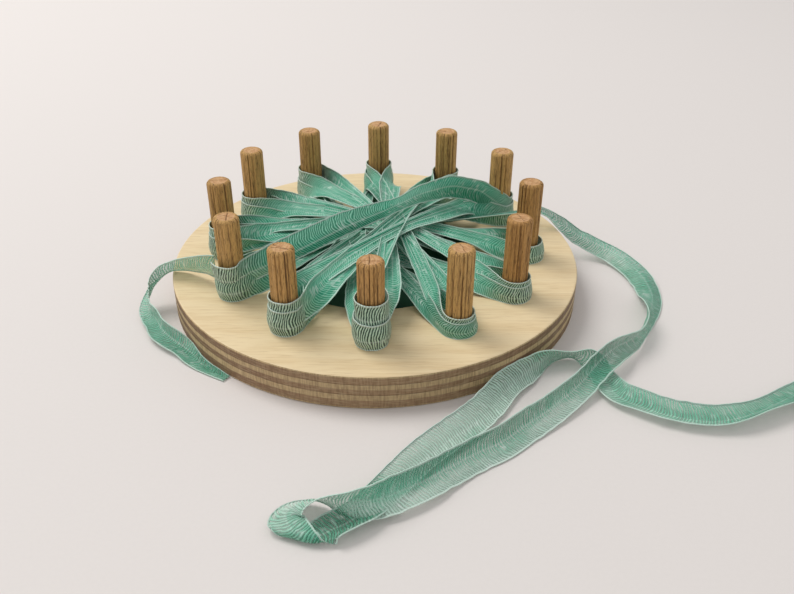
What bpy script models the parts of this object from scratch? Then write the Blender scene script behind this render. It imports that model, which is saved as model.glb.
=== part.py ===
# Flower loom: a round plywood board with a hole, twelve fluted dowels standing in it, and one ribbon yarn
# wound across the hole from peg to peg. Metres, +Z up. The origin is the centre of the board's underside,
# and the first peg stands at -Y, nearest to the viewer.
import math

import bmesh
import bpy
import numpy as np
from mathutils import Matrix, Vector, kdtree

# Board: a ring of plywood
HOLE_DIAMETER = 0.070
RING_WIDTH = 0.035
BOARD_THICKNESS = 0.0115
EDGE_EASE = 0.0005
EASE_STEPS = 2
RING_STEPS = 96

# Pegs: fluted dowels, glued right through the board, half way between the hole and the rim
PEG_COUNT = 12
PEG_DIAMETER = 0.0082
PEG_ABOVE_BOARD = 0.0283
PEG_END_RECESS = 0.0003
GLUE_GAP = 0.0003
PEG_TOP_INSET = 0.0012
PEG_TOP_DROP = 0.0015
PEG_TOP_STEPS = 2
PEG_FOOT_CHAMFER = 0.0008
FLUTE_COUNT = 14
FLUTE_DEPTH = 0.0005
FLUTE_WIDTH = 0.0011
BORE_STEPS = 24

# Ribbon on the pegs
RIBBON_THICKNESS = 0.00045
WRAP_WIDTH = 0.0060
HUB_WIDTH = 0.0024
TWIST_RUN = 0.013
ROUND_COUNT = 2
WRAP_SEAT = 0.0003
WRAP_LIFT = 0.0004
LEVEL_GAP = 0.0010
PILE_GAP = 0.00042
PILE_MARGIN = 0.00005
CHORD_STEPS = 16
TESTS_PER_STEP = 8
MOST_LIFTS = 400
WRAP_STEPS = 8
START_INSET = 0.0066
START_LIFT = 0.0006
START_CLEARANCE = 0.0018
LAST_WRAP_TURN = math.radians(102)

# Ribbon off the pegs: cupped, so it takes more depth than one layer
TAIL_WIDTH = 0.0070
TAIL_DEPTH = 0.0012
TAIL_OPENING_RUN = 0.020
TAIL_SPACING = 0.011
TAIL_GAP = 0.0003

# Put-away coil of the ribbon
COIL_RADIUS = 0.0515
COIL_PITCH = 0.0090
COIL_LOOP_COUNT = 2
LOOP_STEPS = 24

# How the ribbon's least gap to itself is measured
GAP_TEST_SPACING = 0.0008
GAP_TEST_APART = 0.014
GAP_TEST_REACH = 0.004

# What every piece derives from these
HOLE_RADIUS = HOLE_DIAMETER / 2
RIM_RADIUS = HOLE_RADIUS + RING_WIDTH
PEG_CIRCLE = HOLE_RADIUS + RING_WIDTH / 2
PEG_RADIUS = PEG_DIAMETER / 2
WRAP_RADIUS = PEG_RADIUS + WRAP_SEAT + RIBBON_THICKNESS / 2
WRAP_COUNT = ROUND_COUNT * PEG_COUNT - 1
FIRST_WRAPPED = 3 * PEG_COUNT // 4
PASSED_PEG = PEG_COUNT // 3
OVERCUT = 0.001

# The free ribbon's course, chosen by hand: x, y, height above the table, and lean of the ribbon from level
ON_BOARD = BOARD_THICKNESS
RIGHT_TAIL = (
    (0.0652, 0.0208, ON_BOARD + 0.0040, -12),
    (0.0692, 0.0198, ON_BOARD + 0.0022, -18),
    (0.0742, 0.0192, 0.0078, -10),
    (0.0805, 0.0182, 0.0040, 8),
    (0.0868, 0.0150, 0.0028, 20),
    (0.0915, 0.0080, 0.0027, 24),
    (0.0940, -0.0015, 0.0027, 22),
    (0.0946, -0.0110, 0.0024, 6),
    (0.0943, -0.0195, 0.0030, -30),
    (0.0928, -0.0270, 0.0038, -62),
    (0.0890, -0.0345, 0.0039, -68),
    (0.0839, -0.0400, 0.0038, -60),
    (0.0788, -0.0440, 0.0040, -48),
    (0.0736, -0.0486, 0.0048, -40),
    (0.0676, -0.0552, 0.0058, -30),
    (0.0610, -0.0630, 0.0054, -34),
    (0.0553, -0.0692, 0.0042, -44),
    (0.0426, -0.0808, 0.0036, -48),
    (0.0280, -0.0912, 0.0036, -45),
    (0.0209, -0.0962, 0.0040, -40),
    (0.0142, -0.1006, 0.0050, -26),
    (0.0078, -0.1046, 0.0056, -16),
    (0.0014, -0.1080, 0.0057, -16),
    (-0.0048, -0.1104, 0.0057, -24),
    (-0.0102, -0.1109, 0.0049, -58),
    (-0.0152, -0.1100, 0.0040, -98),
    (-0.0189, -0.1116, 0.0039, -112),
    (-0.0204, -0.1152, 0.0039, -116),
    (-0.0193, -0.1186, 0.0039, -118),
    (-0.0160, -0.1210, 0.0038, -122),
    (-0.0114, -0.1212, 0.0030, -140),
    (-0.0066, -0.1190, 0.0020, -162),
    (-0.0016, -0.1148, 0.0015, -168),
    (0.0034, -0.1096, 0.0014, -170),
    (0.0126, -0.0972, 0.0014, -169),
    (0.0226, -0.0828, 0.0018, -163),
    (0.0342, -0.0680, 0.0020, -162),
    (0.0410, -0.0614, 0.0024, -156),
    (0.0474, -0.0562, 0.0033, -134),
    (0.0534, -0.0500, 0.0038, -112),
    (0.0590, -0.0482, 0.0037, -114),
    (0.0636, -0.0506, 0.0028, -142),
    (0.0670, -0.0552, 0.0014, -168),
    (0.0704, -0.0614, 0.0014, -170),
    (0.0748, -0.0668, 0.0014, -172),
    (0.0816, -0.0718, 0.0014, -172),
    (0.0898, -0.0754, 0.0014, -172),
    (0.0990, -0.0770, 0.0014, -171),
    (0.1066, -0.0766, 0.0018, -163),
    (0.1128, -0.0740, 0.0022, -157),
    (0.1184, -0.0698, 0.0018, -163),
    (0.1250, -0.0651, 0.0013, -172),
    (0.1350, -0.0595, 0.0010, -176),
)
COIL_ENTRY = (0.1550, -0.0485)
COIL_HEADING = math.radians(33)
LEFT_TAIL = (
    (-0.0532, -0.0207, 0.0212, 88),
    (-0.0566, -0.0192, 0.0198, 80),
    (-0.0612, -0.0174, 0.0180, 68),
    (-0.0660, -0.0160, 0.0165, 58),
    (-0.0700, -0.0158, 0.0146, 54),
    (-0.0726, -0.0160, 0.0118, 50),
    (-0.0746, -0.0170, 0.0088, 48),
    (-0.0758, -0.0190, 0.0062, 50),
    (-0.0762, -0.0220, 0.0044, 55),
    (-0.0748, -0.0252, 0.0037, 60),
    (-0.0716, -0.0289, 0.0036, 60),
    (-0.0682, -0.0347, 0.0036, 60),
    (-0.0644, -0.0396, 0.0036, 60),
    (-0.0569, -0.0478, 0.0036, 60),
    (-0.0524, -0.0511, 0.0036, 62),
    (-0.0481, -0.0537, 0.0038, 70),
    (-0.0444, -0.0558, 0.0039, 82),
)

for old in list(bpy.data.objects):
    bpy.data.objects.remove(old)
loom = bpy.data.collections.new("flower_loom")
cutters = bpy.data.collections.new("cutters")
for group in (loom, cutters):
    bpy.context.scene.collection.children.link(group)


def finish(name, colour, roughness):
    """A plain material: every piece of this loom is a non-metal."""
    material = bpy.data.materials.new(name)
    material.use_nodes = True
    shader = material.node_tree.nodes["Principled BSDF"]
    shader.inputs["Base Color"].default_value = (*colour, 1.0)
    shader.inputs["Roughness"].default_value = roughness
    shader.inputs["Metallic"].default_value = 0.0
    return material


def add(name, mesh, collection, material=None):
    piece = bpy.data.objects.new(name, mesh)
    collection.objects.link(piece)
    if material:
        mesh.materials.append(material)
    if collection is cutters:
        piece.hide_render = True
        piece.display_type = "WIRE"
    return piece


def turned(name, profile, steps, closed=False):
    """A turned blank: the profile (radius, height) runs down its outer side, from top to bottom."""
    mesh = bpy.data.meshes.new(name)
    last = len(profile) - 1
    edges = [(place, place + 1) for place in range(last)]
    if closed:
        edges.append((last, 0))
    mesh.from_pydata([(radius, 0.0, height) for radius, height in profile], edges, [])
    blank = add(name, mesh, cutters)
    screw = blank.modifiers.new("turn", "SCREW")
    screw.steps = steps
    screw.render_steps = steps
    screw.use_merge_vertices = True
    screw.merge_threshold = 0.00001
    return blank


def cut(blank, cutter):
    boolean = blank.modifiers.new("cut", "BOOLEAN")
    boolean.operation = "DIFFERENCE"
    boolean.solver = "EXACT"
    boolean.object = cutter


def made(blank, name, sharp_angle=math.radians(30)):
    """The blank's mesh with its modifiers carried out; the blank itself goes."""
    graph = bpy.context.evaluated_depsgraph_get()
    mesh = bpy.data.meshes.new_from_object(blank.evaluated_get(graph))
    mesh.name = name
    mesh.shade_smooth()
    mesh.set_sharp_from_angle(angle=sharp_angle)
    bpy.data.objects.remove(blank)
    return mesh


def peg_angle(index):
    return math.radians(360.0 * index / PEG_COUNT - 90.0)


def peg_centre(index):
    angle = peg_angle(index % PEG_COUNT)
    return np.array([PEG_CIRCLE * math.cos(angle), PEG_CIRCLE * math.sin(angle)])


def quarter_round(radius, height, start):
    """Points of an eased corner of the board, from the angle start through a quarter turn clockwise."""
    for step in range(EASE_STEPS + 1):
        angle = math.radians(start - 90.0 * step / EASE_STEPS)
        yield radius + EDGE_EASE * math.cos(angle), height + EDGE_EASE * math.sin(angle)


def board():
    """The ring with its eased edges, bored through for the pegs."""
    outer = RIM_RADIUS - EDGE_EASE
    inner = HOLE_RADIUS + EDGE_EASE
    top = BOARD_THICKNESS - EDGE_EASE
    profile = [*quarter_round(outer, top, 90), *quarter_round(outer, EDGE_EASE, 0)]
    profile += [*quarter_round(inner, EDGE_EASE, -90), *quarter_round(inner, top, -180)]
    blank = turned("base_blank", profile, RING_STEPS, closed=True)
    drill = bmesh.new()
    for index in range(PEG_COUNT):
        x, y = peg_centre(index)
        bmesh.ops.create_cone(
            drill,
            cap_ends=True,
            segments=BORE_STEPS,
            radius1=PEG_RADIUS + GLUE_GAP,
            radius2=PEG_RADIUS + GLUE_GAP,
            depth=BOARD_THICKNESS + 2 * OVERCUT,
            matrix=Matrix.Translation((x, y, BOARD_THICKNESS / 2)),
        )
    mesh = bpy.data.meshes.new("peg_bores")
    drill.to_mesh(mesh)
    drill.free()
    bores = add("peg_bores", mesh, cutters)
    cut(blank, bores)
    return made(blank, "base_ring")


def flute_cutter(length):
    """V grooves round the dowel, one in the middle of each of its flats."""
    flat = PEG_RADIUS * math.cos(math.pi / FLUTE_COUNT)
    root = flat - FLUTE_DEPTH
    mouth = flat + OVERCUT
    half_mouth = FLUTE_WIDTH / 2 * (mouth - root) / FLUTE_DEPTH
    shape = bmesh.new()
    for index in range(FLUTE_COUNT):
        turn = Matrix.Rotation(2 * math.pi * (index + 0.5) / FLUTE_COUNT, 4, "Z")
        corners = [(root, 0.0), (mouth, -half_mouth), (mouth, half_mouth)]
        low = [shape.verts.new(turn @ Vector((x, y, -OVERCUT))) for x, y in corners]
        face = shape.faces.new(low)
        grown = bmesh.ops.extrude_face_region(shape, geom=[face])["geom"]
        risen = [item for item in grown if isinstance(item, bmesh.types.BMVert)]
        bmesh.ops.translate(shape, verts=risen, vec=(0.0, 0.0, length + 2 * OVERCUT))
    bmesh.ops.recalc_face_normals(shape, faces=shape.faces)
    mesh = bpy.data.meshes.new("flutes")
    shape.to_mesh(mesh)
    shape.free()
    return add("flutes", mesh, cutters)


def dowel():
    """One fluted peg with a rounded top, standing on its own foot."""
    length = BOARD_THICKNESS - PEG_END_RECESS + PEG_ABOVE_BOARD
    profile = [(0.0, length)]
    for step in range(PEG_TOP_STEPS + 1):
        angle = math.radians(90.0 - 90.0 * step / PEG_TOP_STEPS)
        radius = PEG_RADIUS - PEG_TOP_INSET * (1.0 - math.cos(angle))
        profile.append((radius, length - PEG_TOP_DROP * (1.0 - math.sin(angle))))
    profile += [(PEG_RADIUS, PEG_FOOT_CHAMFER), (PEG_RADIUS - PEG_FOOT_CHAMFER, 0.0), (0.0, 0.0)]
    blank = turned("dowel_blank", profile, FLUTE_COUNT)
    cut(blank, flute_cutter(length))
    return made(blank, "fluted_dowel")


def wrap_order():
    """The pegs in the order in which the ribbon goes round them: nearly opposite each time."""
    order = [FIRST_WRAPPED]
    while len(order) < WRAP_COUNT:
        step = PEG_COUNT // 2 - len(order) % 2
        order.append((order[-1] + step) % PEG_COUNT)
    return order


def left_of(direction):
    return np.array([-direction[1], direction[0]])


def start_chord():
    """Where the ribbon starts near the rim, and where it first touches the first wrapped peg."""
    first = peg_centre(FIRST_WRAPPED)
    passed = peg_centre(PASSED_PEG)
    beside = PEG_RADIUS + WRAP_SEAT + RIBBON_THICKNESS + HUB_WIDTH / 2 + START_CLEARANCE
    across = first - passed
    bearing = math.atan2(across[1], across[0])
    side = bearing + math.acos((beside - WRAP_RADIUS) / np.linalg.norm(across))
    left = np.array([math.cos(side), math.sin(side)])
    heading = np.array([left[1], -left[0]])
    touch = first + WRAP_RADIUS * left
    reach = RIM_RADIUS - START_INSET
    offset = float(touch @ left)
    start = offset * left - math.sqrt(reach**2 - offset**2) * heading
    return start, touch


def flat_share(along, length, from_peg):
    """0 where the ribbon stands on edge at a peg, 1 where it lies flat over the hole."""
    from_start = along if from_peg else np.full_like(along, TWIST_RUN)
    share = np.clip(np.minimum(from_start, length - along) / TWIST_RUN, 0.0, 1.0)
    return share * share * (3.0 - 2.0 * share)


def width_at(share):
    return WRAP_WIDTH + (HUB_WIDTH - WRAP_WIDTH) * share


def half_sizes(share):
    """Half the height and half the breadth that the leaning ribbon takes."""
    turn = share * math.pi / 2
    half = width_at(share) / 2
    depth = RIBBON_THICKNESS / 2
    return half * np.cos(turn) + depth * np.sin(turn), half * np.sin(turn) + depth * np.cos(turn)


def hull_over(places, heights):
    """The taut line over a row of heights: it never sags between two that carry it."""
    kept = []
    for place, height in zip(places, heights):
        while len(kept) >= 2:
            (x1, z1), (x2, z2) = kept[-2:]
            if (z2 - z1) * (place - x1) > (height - z1) * (x2 - x1):
                break
            kept.pop()
        kept.append((place, height))
    xs, zs = zip(*kept)
    return np.interp(places, xs, zs)


def rest_on_pile(start, end, heights, from_peg, pile):
    """Heights of one straight pass, taut from peg to peg and lifted clear of all that was laid before."""
    length = np.linalg.norm(end - start)
    stations = np.linspace(0.0, length, CHORD_STEPS + 1)
    along = np.linspace(0.0, length, CHORD_STEPS * TESTS_PER_STEP + 1)
    plan = start + np.outer(along / length, end - start)
    tall, broad = half_sizes(flat_share(along, length, from_peg))
    needed = np.full(len(along), -1.0)
    for other_plan, other_height, other_tall, other_broad in pile:
        apart = np.linalg.norm(plan[:, None] - other_plan[None], axis=2)
        over = apart < broad[:, None] + other_broad[None] + PILE_GAP
        clear = (other_height + other_tall)[None] + tall[:, None] + PILE_GAP + PILE_MARGIN
        needed = np.maximum(needed, np.where(over, clear, -1.0).max(axis=1))
    needed[:2] = -1.0
    needed[-2:] = -1.0
    levels = np.interp(stations, [0.0, length], heights)
    for _ in range(MOST_LIFTS):
        levels = hull_over(stations, levels)
        short = needed - np.interp(along, stations, levels)
        worst = int(short.argmax())
        if short[worst] < PILE_MARGIN / 100:
            break
        before = min(worst // TESTS_PER_STEP, CHORD_STEPS - 1)
        for station in (before, before + 1):
            if 0 < station < CHORD_STEPS:
                levels[station] += short[worst]
    pile.append((plan, np.interp(along, stations, levels), tall, broad))
    return stations, levels


def section(centre, direction, lean, width, depth):
    """Four corners of the ribbon, its width leaning from level by the given angle."""
    side = np.array([-direction[1], direction[0], 0.0])
    side /= np.linalg.norm(side)
    up = np.cross(direction / np.linalg.norm(direction), side)
    across = (side * math.cos(lean) + up * math.sin(lean)) * width / 2
    through = (up * math.cos(lean) - side * math.sin(lean)) * depth / 2
    corners = ((1, 1), (1, -1), (-1, -1), (-1, 1))
    return [centre + across * a + through * b for a, b in corners]


def level(direction):
    return np.array([direction[0], direction[1], 0.0])


def chord_sections(start, end, heights, from_peg, pile):
    """Sections of one pass across the hole, without its first and last, which belong to the wraps."""
    stations, levels = rest_on_pile(start, end, heights, from_peg, pile)
    length = stations[-1]
    shares = flat_share(stations, length, from_peg)
    rows = []
    for station, height, share in zip(stations, levels, shares):
        plan = start + (end - start) * station / length
        centre = np.array([*plan, height])
        lean = math.pi / 2 * (1.0 - share)
        rows.append(section(centre, level(end - start), lean, width_at(share), RIBBON_THICKNESS))
    return rows[1:-1] if from_peg else rows[:-1]


def wrap_sections(centre, height, start_angle, turn):
    """Sections of one wrap, clockwise seen from above, on edge all the way round the peg."""
    rows = []
    steps = max(2, round(WRAP_STEPS * turn / math.pi))
    for step in range(steps + 1):
        angle = start_angle - turn * step / steps
        outward = np.array([math.cos(angle), math.sin(angle)])
        place = np.array([*(centre + WRAP_RADIUS * outward), height])
        direction = np.array([outward[1], -outward[0], 0.0])
        rows.append(section(place, direction, math.pi / 2, WRAP_WIDTH, RIBBON_THICKNESS))
    return rows


def winding():
    """All sections of the wound ribbon, from its start near the rim to where it leaves the last peg."""
    order = wrap_order()
    visits = [order[:place].count(peg) for place, peg in enumerate(order)]
    first_height = BOARD_THICKNESS + WRAP_LIFT + WRAP_WIDTH / 2
    heights = [first_height + visit * (WRAP_WIDTH + LEVEL_GAP) for visit in visits]
    start, touch = start_chord()
    start_height = BOARD_THICKNESS + START_LIFT + RIBBON_THICKNESS / 2
    pile = []
    rows = chord_sections(start, touch, (start_height, heights[0]), False, pile)
    arrival = touch - start
    for place, peg in enumerate(order):
        centre = peg_centre(peg)
        reached = left_of(arrival)
        start_angle = math.atan2(reached[1], reached[0])
        if place + 1 == WRAP_COUNT:
            rows += wrap_sections(centre, heights[place], start_angle, LAST_WRAP_TURN)
            break
        onward = peg_centre(order[place + 1]) - centre
        leaving = left_of(onward) / np.linalg.norm(onward)
        turn = (start_angle - math.atan2(leaving[1], leaving[0])) % (2 * math.pi)
        rows += wrap_sections(centre, heights[place], start_angle, turn)
        offset = WRAP_RADIUS * leaving
        ends = (heights[place], heights[place + 1])
        rows += chord_sections(centre + offset, centre + onward + offset, ends, True, pile)
        arrival = onward
    end_angle = start_angle - LAST_WRAP_TURN
    away = np.array([math.sin(end_angle), -math.cos(end_angle), 0.0])
    rows.append([corner + away * WRAP_WIDTH for corner in rows[-1]])
    return rows


def lofted(name, rows, material):
    """One closed body through four-cornered sections. They are unlike one another, so it is skinned here."""
    shape = bmesh.new()
    loops = [[shape.verts.new(corner) for corner in row] for row in rows]
    for near, far in zip(loops, loops[1:]):
        for side in range(4):
            after = (side + 1) % 4
            shape.faces.new((near[side], near[after], far[after], far[side]))
    shape.faces.new(reversed(loops[0]))
    shape.faces.new(loops[-1])
    bmesh.ops.recalc_face_normals(shape, faces=shape.faces)
    mesh = bpy.data.meshes.new(name)
    shape.to_mesh(mesh)
    shape.free()
    mesh.shade_smooth()
    mesh.set_sharp_from_angle(angle=math.radians(40))
    return add(name, mesh, loom, material)


def smooth_route(points):
    """Points of a smooth curve through the chosen ones, at most TAIL_SPACING apart."""
    points = np.array(points, dtype=float)
    places = np.concatenate([[0.0], np.cumsum(np.linalg.norm(np.diff(points[:, :3], axis=0), axis=1))])
    slopes = np.gradient(points, places, axis=0)
    found = [points[0]]
    for index in range(len(points) - 1):
        span = places[index + 1] - places[index]
        pieces = math.ceil(span / TAIL_SPACING)
        for piece in range(1, pieces + 1):
            t = piece / pieces
            start_weight = (1 + 2 * t) * (1 - t) ** 2
            start_slope = span * t * (1 - t) ** 2
            end_slope = -span * t**2 * (1 - t)
            blend = start_weight * points[index] + (1 - start_weight) * points[index + 1]
            found.append(blend + start_slope * slopes[index] + end_slope * slopes[index + 1])
    return np.array(found)


def run_length(centres):
    return float(np.linalg.norm(np.diff(np.array(centres), axis=0), axis=1).sum())


def tail_sections(route, first_direction, first_size):
    """Sections of a free length that opens from its first width and depth to the cupped ribbon's own."""
    course = smooth_route(route)
    centres = course[:, :3]
    directions = np.gradient(centres, axis=0)
    directions[0] = first_direction
    directions[-1] = centres[-1] - centres[-2]
    rows = []
    gone = 0.0
    for index, (centre, direction) in enumerate(zip(centres, directions)):
        gone += np.linalg.norm(centre - centres[index - 1]) if index else 0.0
        share = min(1.0, gone / TAIL_OPENING_RUN)
        width = first_size[0] + (TAIL_WIDTH - first_size[0]) * share
        depth = first_size[1] + (TAIL_DEPTH - first_size[1]) * share
        rows.append(section(centre, direction, math.radians(course[index, 3]), width, depth))
    return rows, run_length(centres)


def middle(row):
    return sum(row) / len(row)


def beyond(last, before):
    """The middle of the next node's first section, across a small gap, and the direction there."""
    course = middle(last) - middle(before)
    course /= np.linalg.norm(course)
    return middle(last) + course * TAIL_GAP, course


def coil_sections():
    """The put-away length: a flat spiral on the table, each turn one ribbon's width inside the last."""
    heading = np.array([math.cos(COIL_HEADING), math.sin(COIL_HEADING)])
    entry = np.array(COIL_ENTRY)
    centre = entry - COIL_RADIUS * left_of(heading)
    first_angle = COIL_HEADING + math.pi / 2
    steps = COIL_LOOP_COUNT * LOOP_STEPS
    height = TAIL_DEPTH / 2
    centres = [np.array([*(entry + heading * TAIL_GAP), height])]
    for step in range(steps + 1):
        turned_by = 2 * math.pi * step / LOOP_STEPS
        radius = COIL_RADIUS - COIL_PITCH * step / LOOP_STEPS
        angle = first_angle - turned_by
        place = centre + heading * TAIL_WIDTH + radius * np.array([math.cos(angle), math.sin(angle)])
        centres.append(np.array([*place, height]))
    directions = np.gradient(np.array(centres), axis=0)
    directions[0] = level(heading)
    rows = []
    for place, direction in zip(centres, directions):
        rows.append(section(place, direction, 0.0, TAIL_WIDTH, TAIL_DEPTH))
    return rows, run_length(centres)


def least_gap(rows):
    """Least distance between places on the ribbon's surface that lie far apart along it."""
    points = []
    places = []
    gone = 0.0
    for near, far in zip(rows, rows[1:]):
        near, far = np.array(near), np.array(far)
        length = np.linalg.norm(far.mean(axis=0) - near.mean(axis=0))
        steps = max(1, round(length / GAP_TEST_SPACING))
        for step in range(steps):
            share = step / steps
            row = near + (far - near) * share
            for first, second in ((0, 3), (1, 2)):
                parts = max(1, round(np.linalg.norm(row[first] - row[second]) / GAP_TEST_SPACING))
                for part in range(parts + 1):
                    points.append(row[first] + (row[second] - row[first]) * part / parts)
                    places.append(gone + length * share)
        gone += length
    tree = kdtree.KDTree(len(points))
    for index, point in enumerate(points):
        tree.insert(point, index)
    tree.balance()
    least = GAP_TEST_REACH
    for index, point in enumerate(points):
        for _, other, distance in tree.find_range(point, least):
            if abs(places[other] - places[index]) > GAP_TEST_APART:
                least = min(least, distance)
    return least


plywood = finish("birch_plywood", (0.72, 0.55, 0.35), 0.65)
beech = finish("beech_dowel", (0.42, 0.25, 0.14), 0.6)
ribbon = finish("ribbon_yarn", (0.16, 0.55, 0.42), 0.4)

add("base_ring", board(), loom, plywood)

dowel_mesh = dowel()
dowel_mesh.materials.append(beech)
for number in range(PEG_COUNT):
    peg = add(f"peg_{number + 1:02d}", dowel_mesh, loom)
    peg.location = (*peg_centre(number), PEG_END_RECESS)
    peg.rotation_euler.z = peg_angle(number)

wound = winding()
lofted("ribbon_winding", wound, ribbon)

start_joint, start_course = beyond(wound[0], wound[1])
coil_entry = (*COIL_ENTRY, TAIL_DEPTH / 2, -180)
straight = np.array([math.cos(COIL_HEADING), math.sin(COIL_HEADING)]) * TAIL_WIDTH
coil_approach = (*(np.array(COIL_ENTRY) - straight), TAIL_DEPTH / 2, -180)
right_route = [(*start_joint, 0), *RIGHT_TAIL, coil_approach, coil_entry]
right_rows, right_length = tail_sections(right_route, start_course, (HUB_WIDTH, RIBBON_THICKNESS))
lofted("ribbon_right_tail", right_rows, ribbon)

end_joint, end_course = beyond(wound[-1], wound[-2])
left_route = [(*end_joint, 90), *LEFT_TAIL]
left_rows, left_length = tail_sections(left_route, end_course, (WRAP_WIDTH, RIBBON_THICKNESS))
lofted("ribbon_left_tail", left_rows, ribbon)

coil_rows, coil_length = coil_sections()
lofted("ribbon_coil", coil_rows, ribbon)

wound_length = run_length([middle(row) for row in wound])
pile_top = max(corner[2] for row in wound for corner in row) - BOARD_THICKNESS
print(f"ribbon on the pegs {wound_length:.3f} m, its pile {pile_top * 1000:.1f} mm above the board")
print(f"right tail {right_length:.3f} m, left tail {left_length:.3f} m, coil {coil_length:.3f} m")
print(f"winding: least gap to itself {least_gap(wound) * 1000:.2f} mm")
print(f"coil: least gap to itself {least_gap(coil_rows) * 1000:.2f} mm")
print(f"right tail: least gap to itself {least_gap(right_rows) * 1000:.2f} mm")
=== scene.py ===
# %% [markdown]
# # A flower loom wound with ribbon yarn
# The loom is a round plywood board with a hole and twelve fluted dowels. One hand-dyed ribbon yarn goes to
# and fro across the hole, from peg to peg, and both of its ends trail away. The rigid pieces arrive as a
# fixed frame, in metres, with the board's underside at z = 0 and the first peg at -Y, nearest to the
# viewer. This lesson dresses them: it models the ribbon as the thin gathered strip that it is, and paints
# wood and yarn with nodes.

# %% Load the frame
import math

import bpy
import numpy as np
from mathutils import Matrix, Vector, noise


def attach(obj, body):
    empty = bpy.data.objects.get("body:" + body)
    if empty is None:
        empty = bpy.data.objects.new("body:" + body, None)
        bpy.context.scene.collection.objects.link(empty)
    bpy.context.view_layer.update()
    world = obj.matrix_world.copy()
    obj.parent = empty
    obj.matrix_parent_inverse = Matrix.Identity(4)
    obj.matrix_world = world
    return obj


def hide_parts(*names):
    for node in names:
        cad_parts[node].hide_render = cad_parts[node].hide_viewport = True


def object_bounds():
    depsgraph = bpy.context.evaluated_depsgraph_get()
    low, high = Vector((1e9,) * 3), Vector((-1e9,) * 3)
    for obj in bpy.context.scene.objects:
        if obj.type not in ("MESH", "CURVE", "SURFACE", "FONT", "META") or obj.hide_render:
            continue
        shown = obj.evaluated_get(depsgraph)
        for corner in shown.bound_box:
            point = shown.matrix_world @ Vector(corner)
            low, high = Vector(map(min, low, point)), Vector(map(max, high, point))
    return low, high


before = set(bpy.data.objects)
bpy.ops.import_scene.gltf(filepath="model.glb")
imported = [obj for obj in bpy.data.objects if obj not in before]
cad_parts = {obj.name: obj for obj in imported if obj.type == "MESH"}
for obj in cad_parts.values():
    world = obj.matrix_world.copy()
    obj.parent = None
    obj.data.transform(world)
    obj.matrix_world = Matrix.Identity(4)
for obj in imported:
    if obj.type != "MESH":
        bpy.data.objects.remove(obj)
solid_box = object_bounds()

BODY = "root"
FULL_TURN = 2 * math.pi
solid_sizes = [round(size * 1000, 1) for size in solid_box[1] - solid_box[0]]
print("solids:", len(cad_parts), "box", solid_sizes, "mm")

# %% [markdown]
# ## The camera
# The photograph was taken from in front of the loom, looking down at about a third of a right angle. The
# camera's place was worked out from the ellipses of the board's two rims and the feet of the twelve pegs. A
# matrix is the safest way to aim it, because it says the place, the tilt and the slight roll at once.

# %% Camera
PICTURE_WIDTH = 794
FOCAL_PIXELS = 830
SENSOR_WIDTH = 36.0
CAMERA_PLACE = Vector((0.0075, -0.2549, 0.1571))
CAMERA_TILT = math.radians(90 - 32.66)
CAMERA_ROLL = 0.0042
NEAREST_SEEN = 0.01


def stand(name, data):
    """A new object in the scene."""
    made = bpy.data.objects.new(name, data)
    bpy.context.scene.collection.objects.link(made)
    return made


lens = bpy.data.cameras.new("camera")
lens.sensor_width = SENSOR_WIDTH
lens.lens = FOCAL_PIXELS / PICTURE_WIDTH * SENSOR_WIDTH
lens.clip_start = NEAREST_SEEN
camera = stand("camera", lens)
aim = Matrix.Rotation(CAMERA_TILT, 4, "X") @ Matrix.Rotation(CAMERA_ROLL, 4, "Z")
camera.matrix_world = Matrix.Translation(CAMERA_PLACE) @ aim
bpy.context.scene.camera = camera
print("lens", round(lens.lens, 2), "mm")

# %% [markdown]
# ## Sections of a ribbon
# A ribbon is a flat strip of constant width that bends in two ways: it leans about its own course, and it
# cups across its width, like a gutter. Each place along it therefore has a centre, a lean, a cup angle and
# a crease, which says how sharply the gutter is folded. Where it is pulled tight it gathers instead: it
# gets narrower and its surplus stands in small pleats. A plane with modifiers can't hold all of that, so
# the strip is skinned from rings of points: over its face, round one corded edge, back under, and round the
# other edge.

# %% Ribbon sizes
RIBBON_WIDTH = 0.0090
SHEET_HALF = 0.00011
CORD_RADIUS = 0.00017
CORD_BEAD = 0.45
RING_SPACING = 0.00045
COLUMNS = 13
CORD_TURNS = (-105, -35, 35, 105)
FLOOR_CLEARANCE = 0.00015
SAME_PLACE = 1e-7
ACROSS = np.linspace(-1.0, 1.0, COLUMNS)
# The ring: right edge cord, back, left edge cord and face. Each point has a column and a turn from it
RING = (
    *((0, 180 + turn) for turn in CORD_TURNS),
    *((column, -90) for column in range(COLUMNS)),
    *((COLUMNS - 1, turn) for turn in CORD_TURNS),
    *((column, 90) for column in reversed(range(COLUMNS))),
)
RING_COLUMNS, RING_TURNS = np.array(RING).T
RING_IS_CORD = np.abs(RING_TURNS) != 90


def distances(rows):
    """How far along its line each row lies. Every row starts with x, y and z."""
    steps = np.linalg.norm(np.diff(rows[:, :3], axis=0), axis=1)
    return np.concatenate([[0.0], np.cumsum(steps)])


def even_run(rows):
    """The rows read again at even distances along their line, and the line's length."""
    rows = np.array(rows, dtype=float)
    moved = np.diff(distances(rows)) > SAME_PLACE
    rows = rows[np.concatenate([[True], moved])]
    places = distances(rows)
    wanted = np.linspace(0.0, places[-1], max(2, round(places[-1] / RING_SPACING) + 1))
    return np.stack([np.interp(wanted, places, column) for column in rows.T], axis=1), places[-1]


def smoothed(rows, reach):
    """A running average over the rows, with both ends kept."""
    padded = np.concatenate([np.repeat(rows[:1], reach, 0), rows, np.repeat(rows[-1:], reach, 0)])
    total = sum(padded[shift:shift + len(rows)] for shift in range(2 * reach + 1))
    total /= 2 * reach + 1
    total[0] = rows[0]
    total[-1] = rows[-1]
    return total


print("ring:", len(RING), "points on", COLUMNS, "columns")

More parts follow.
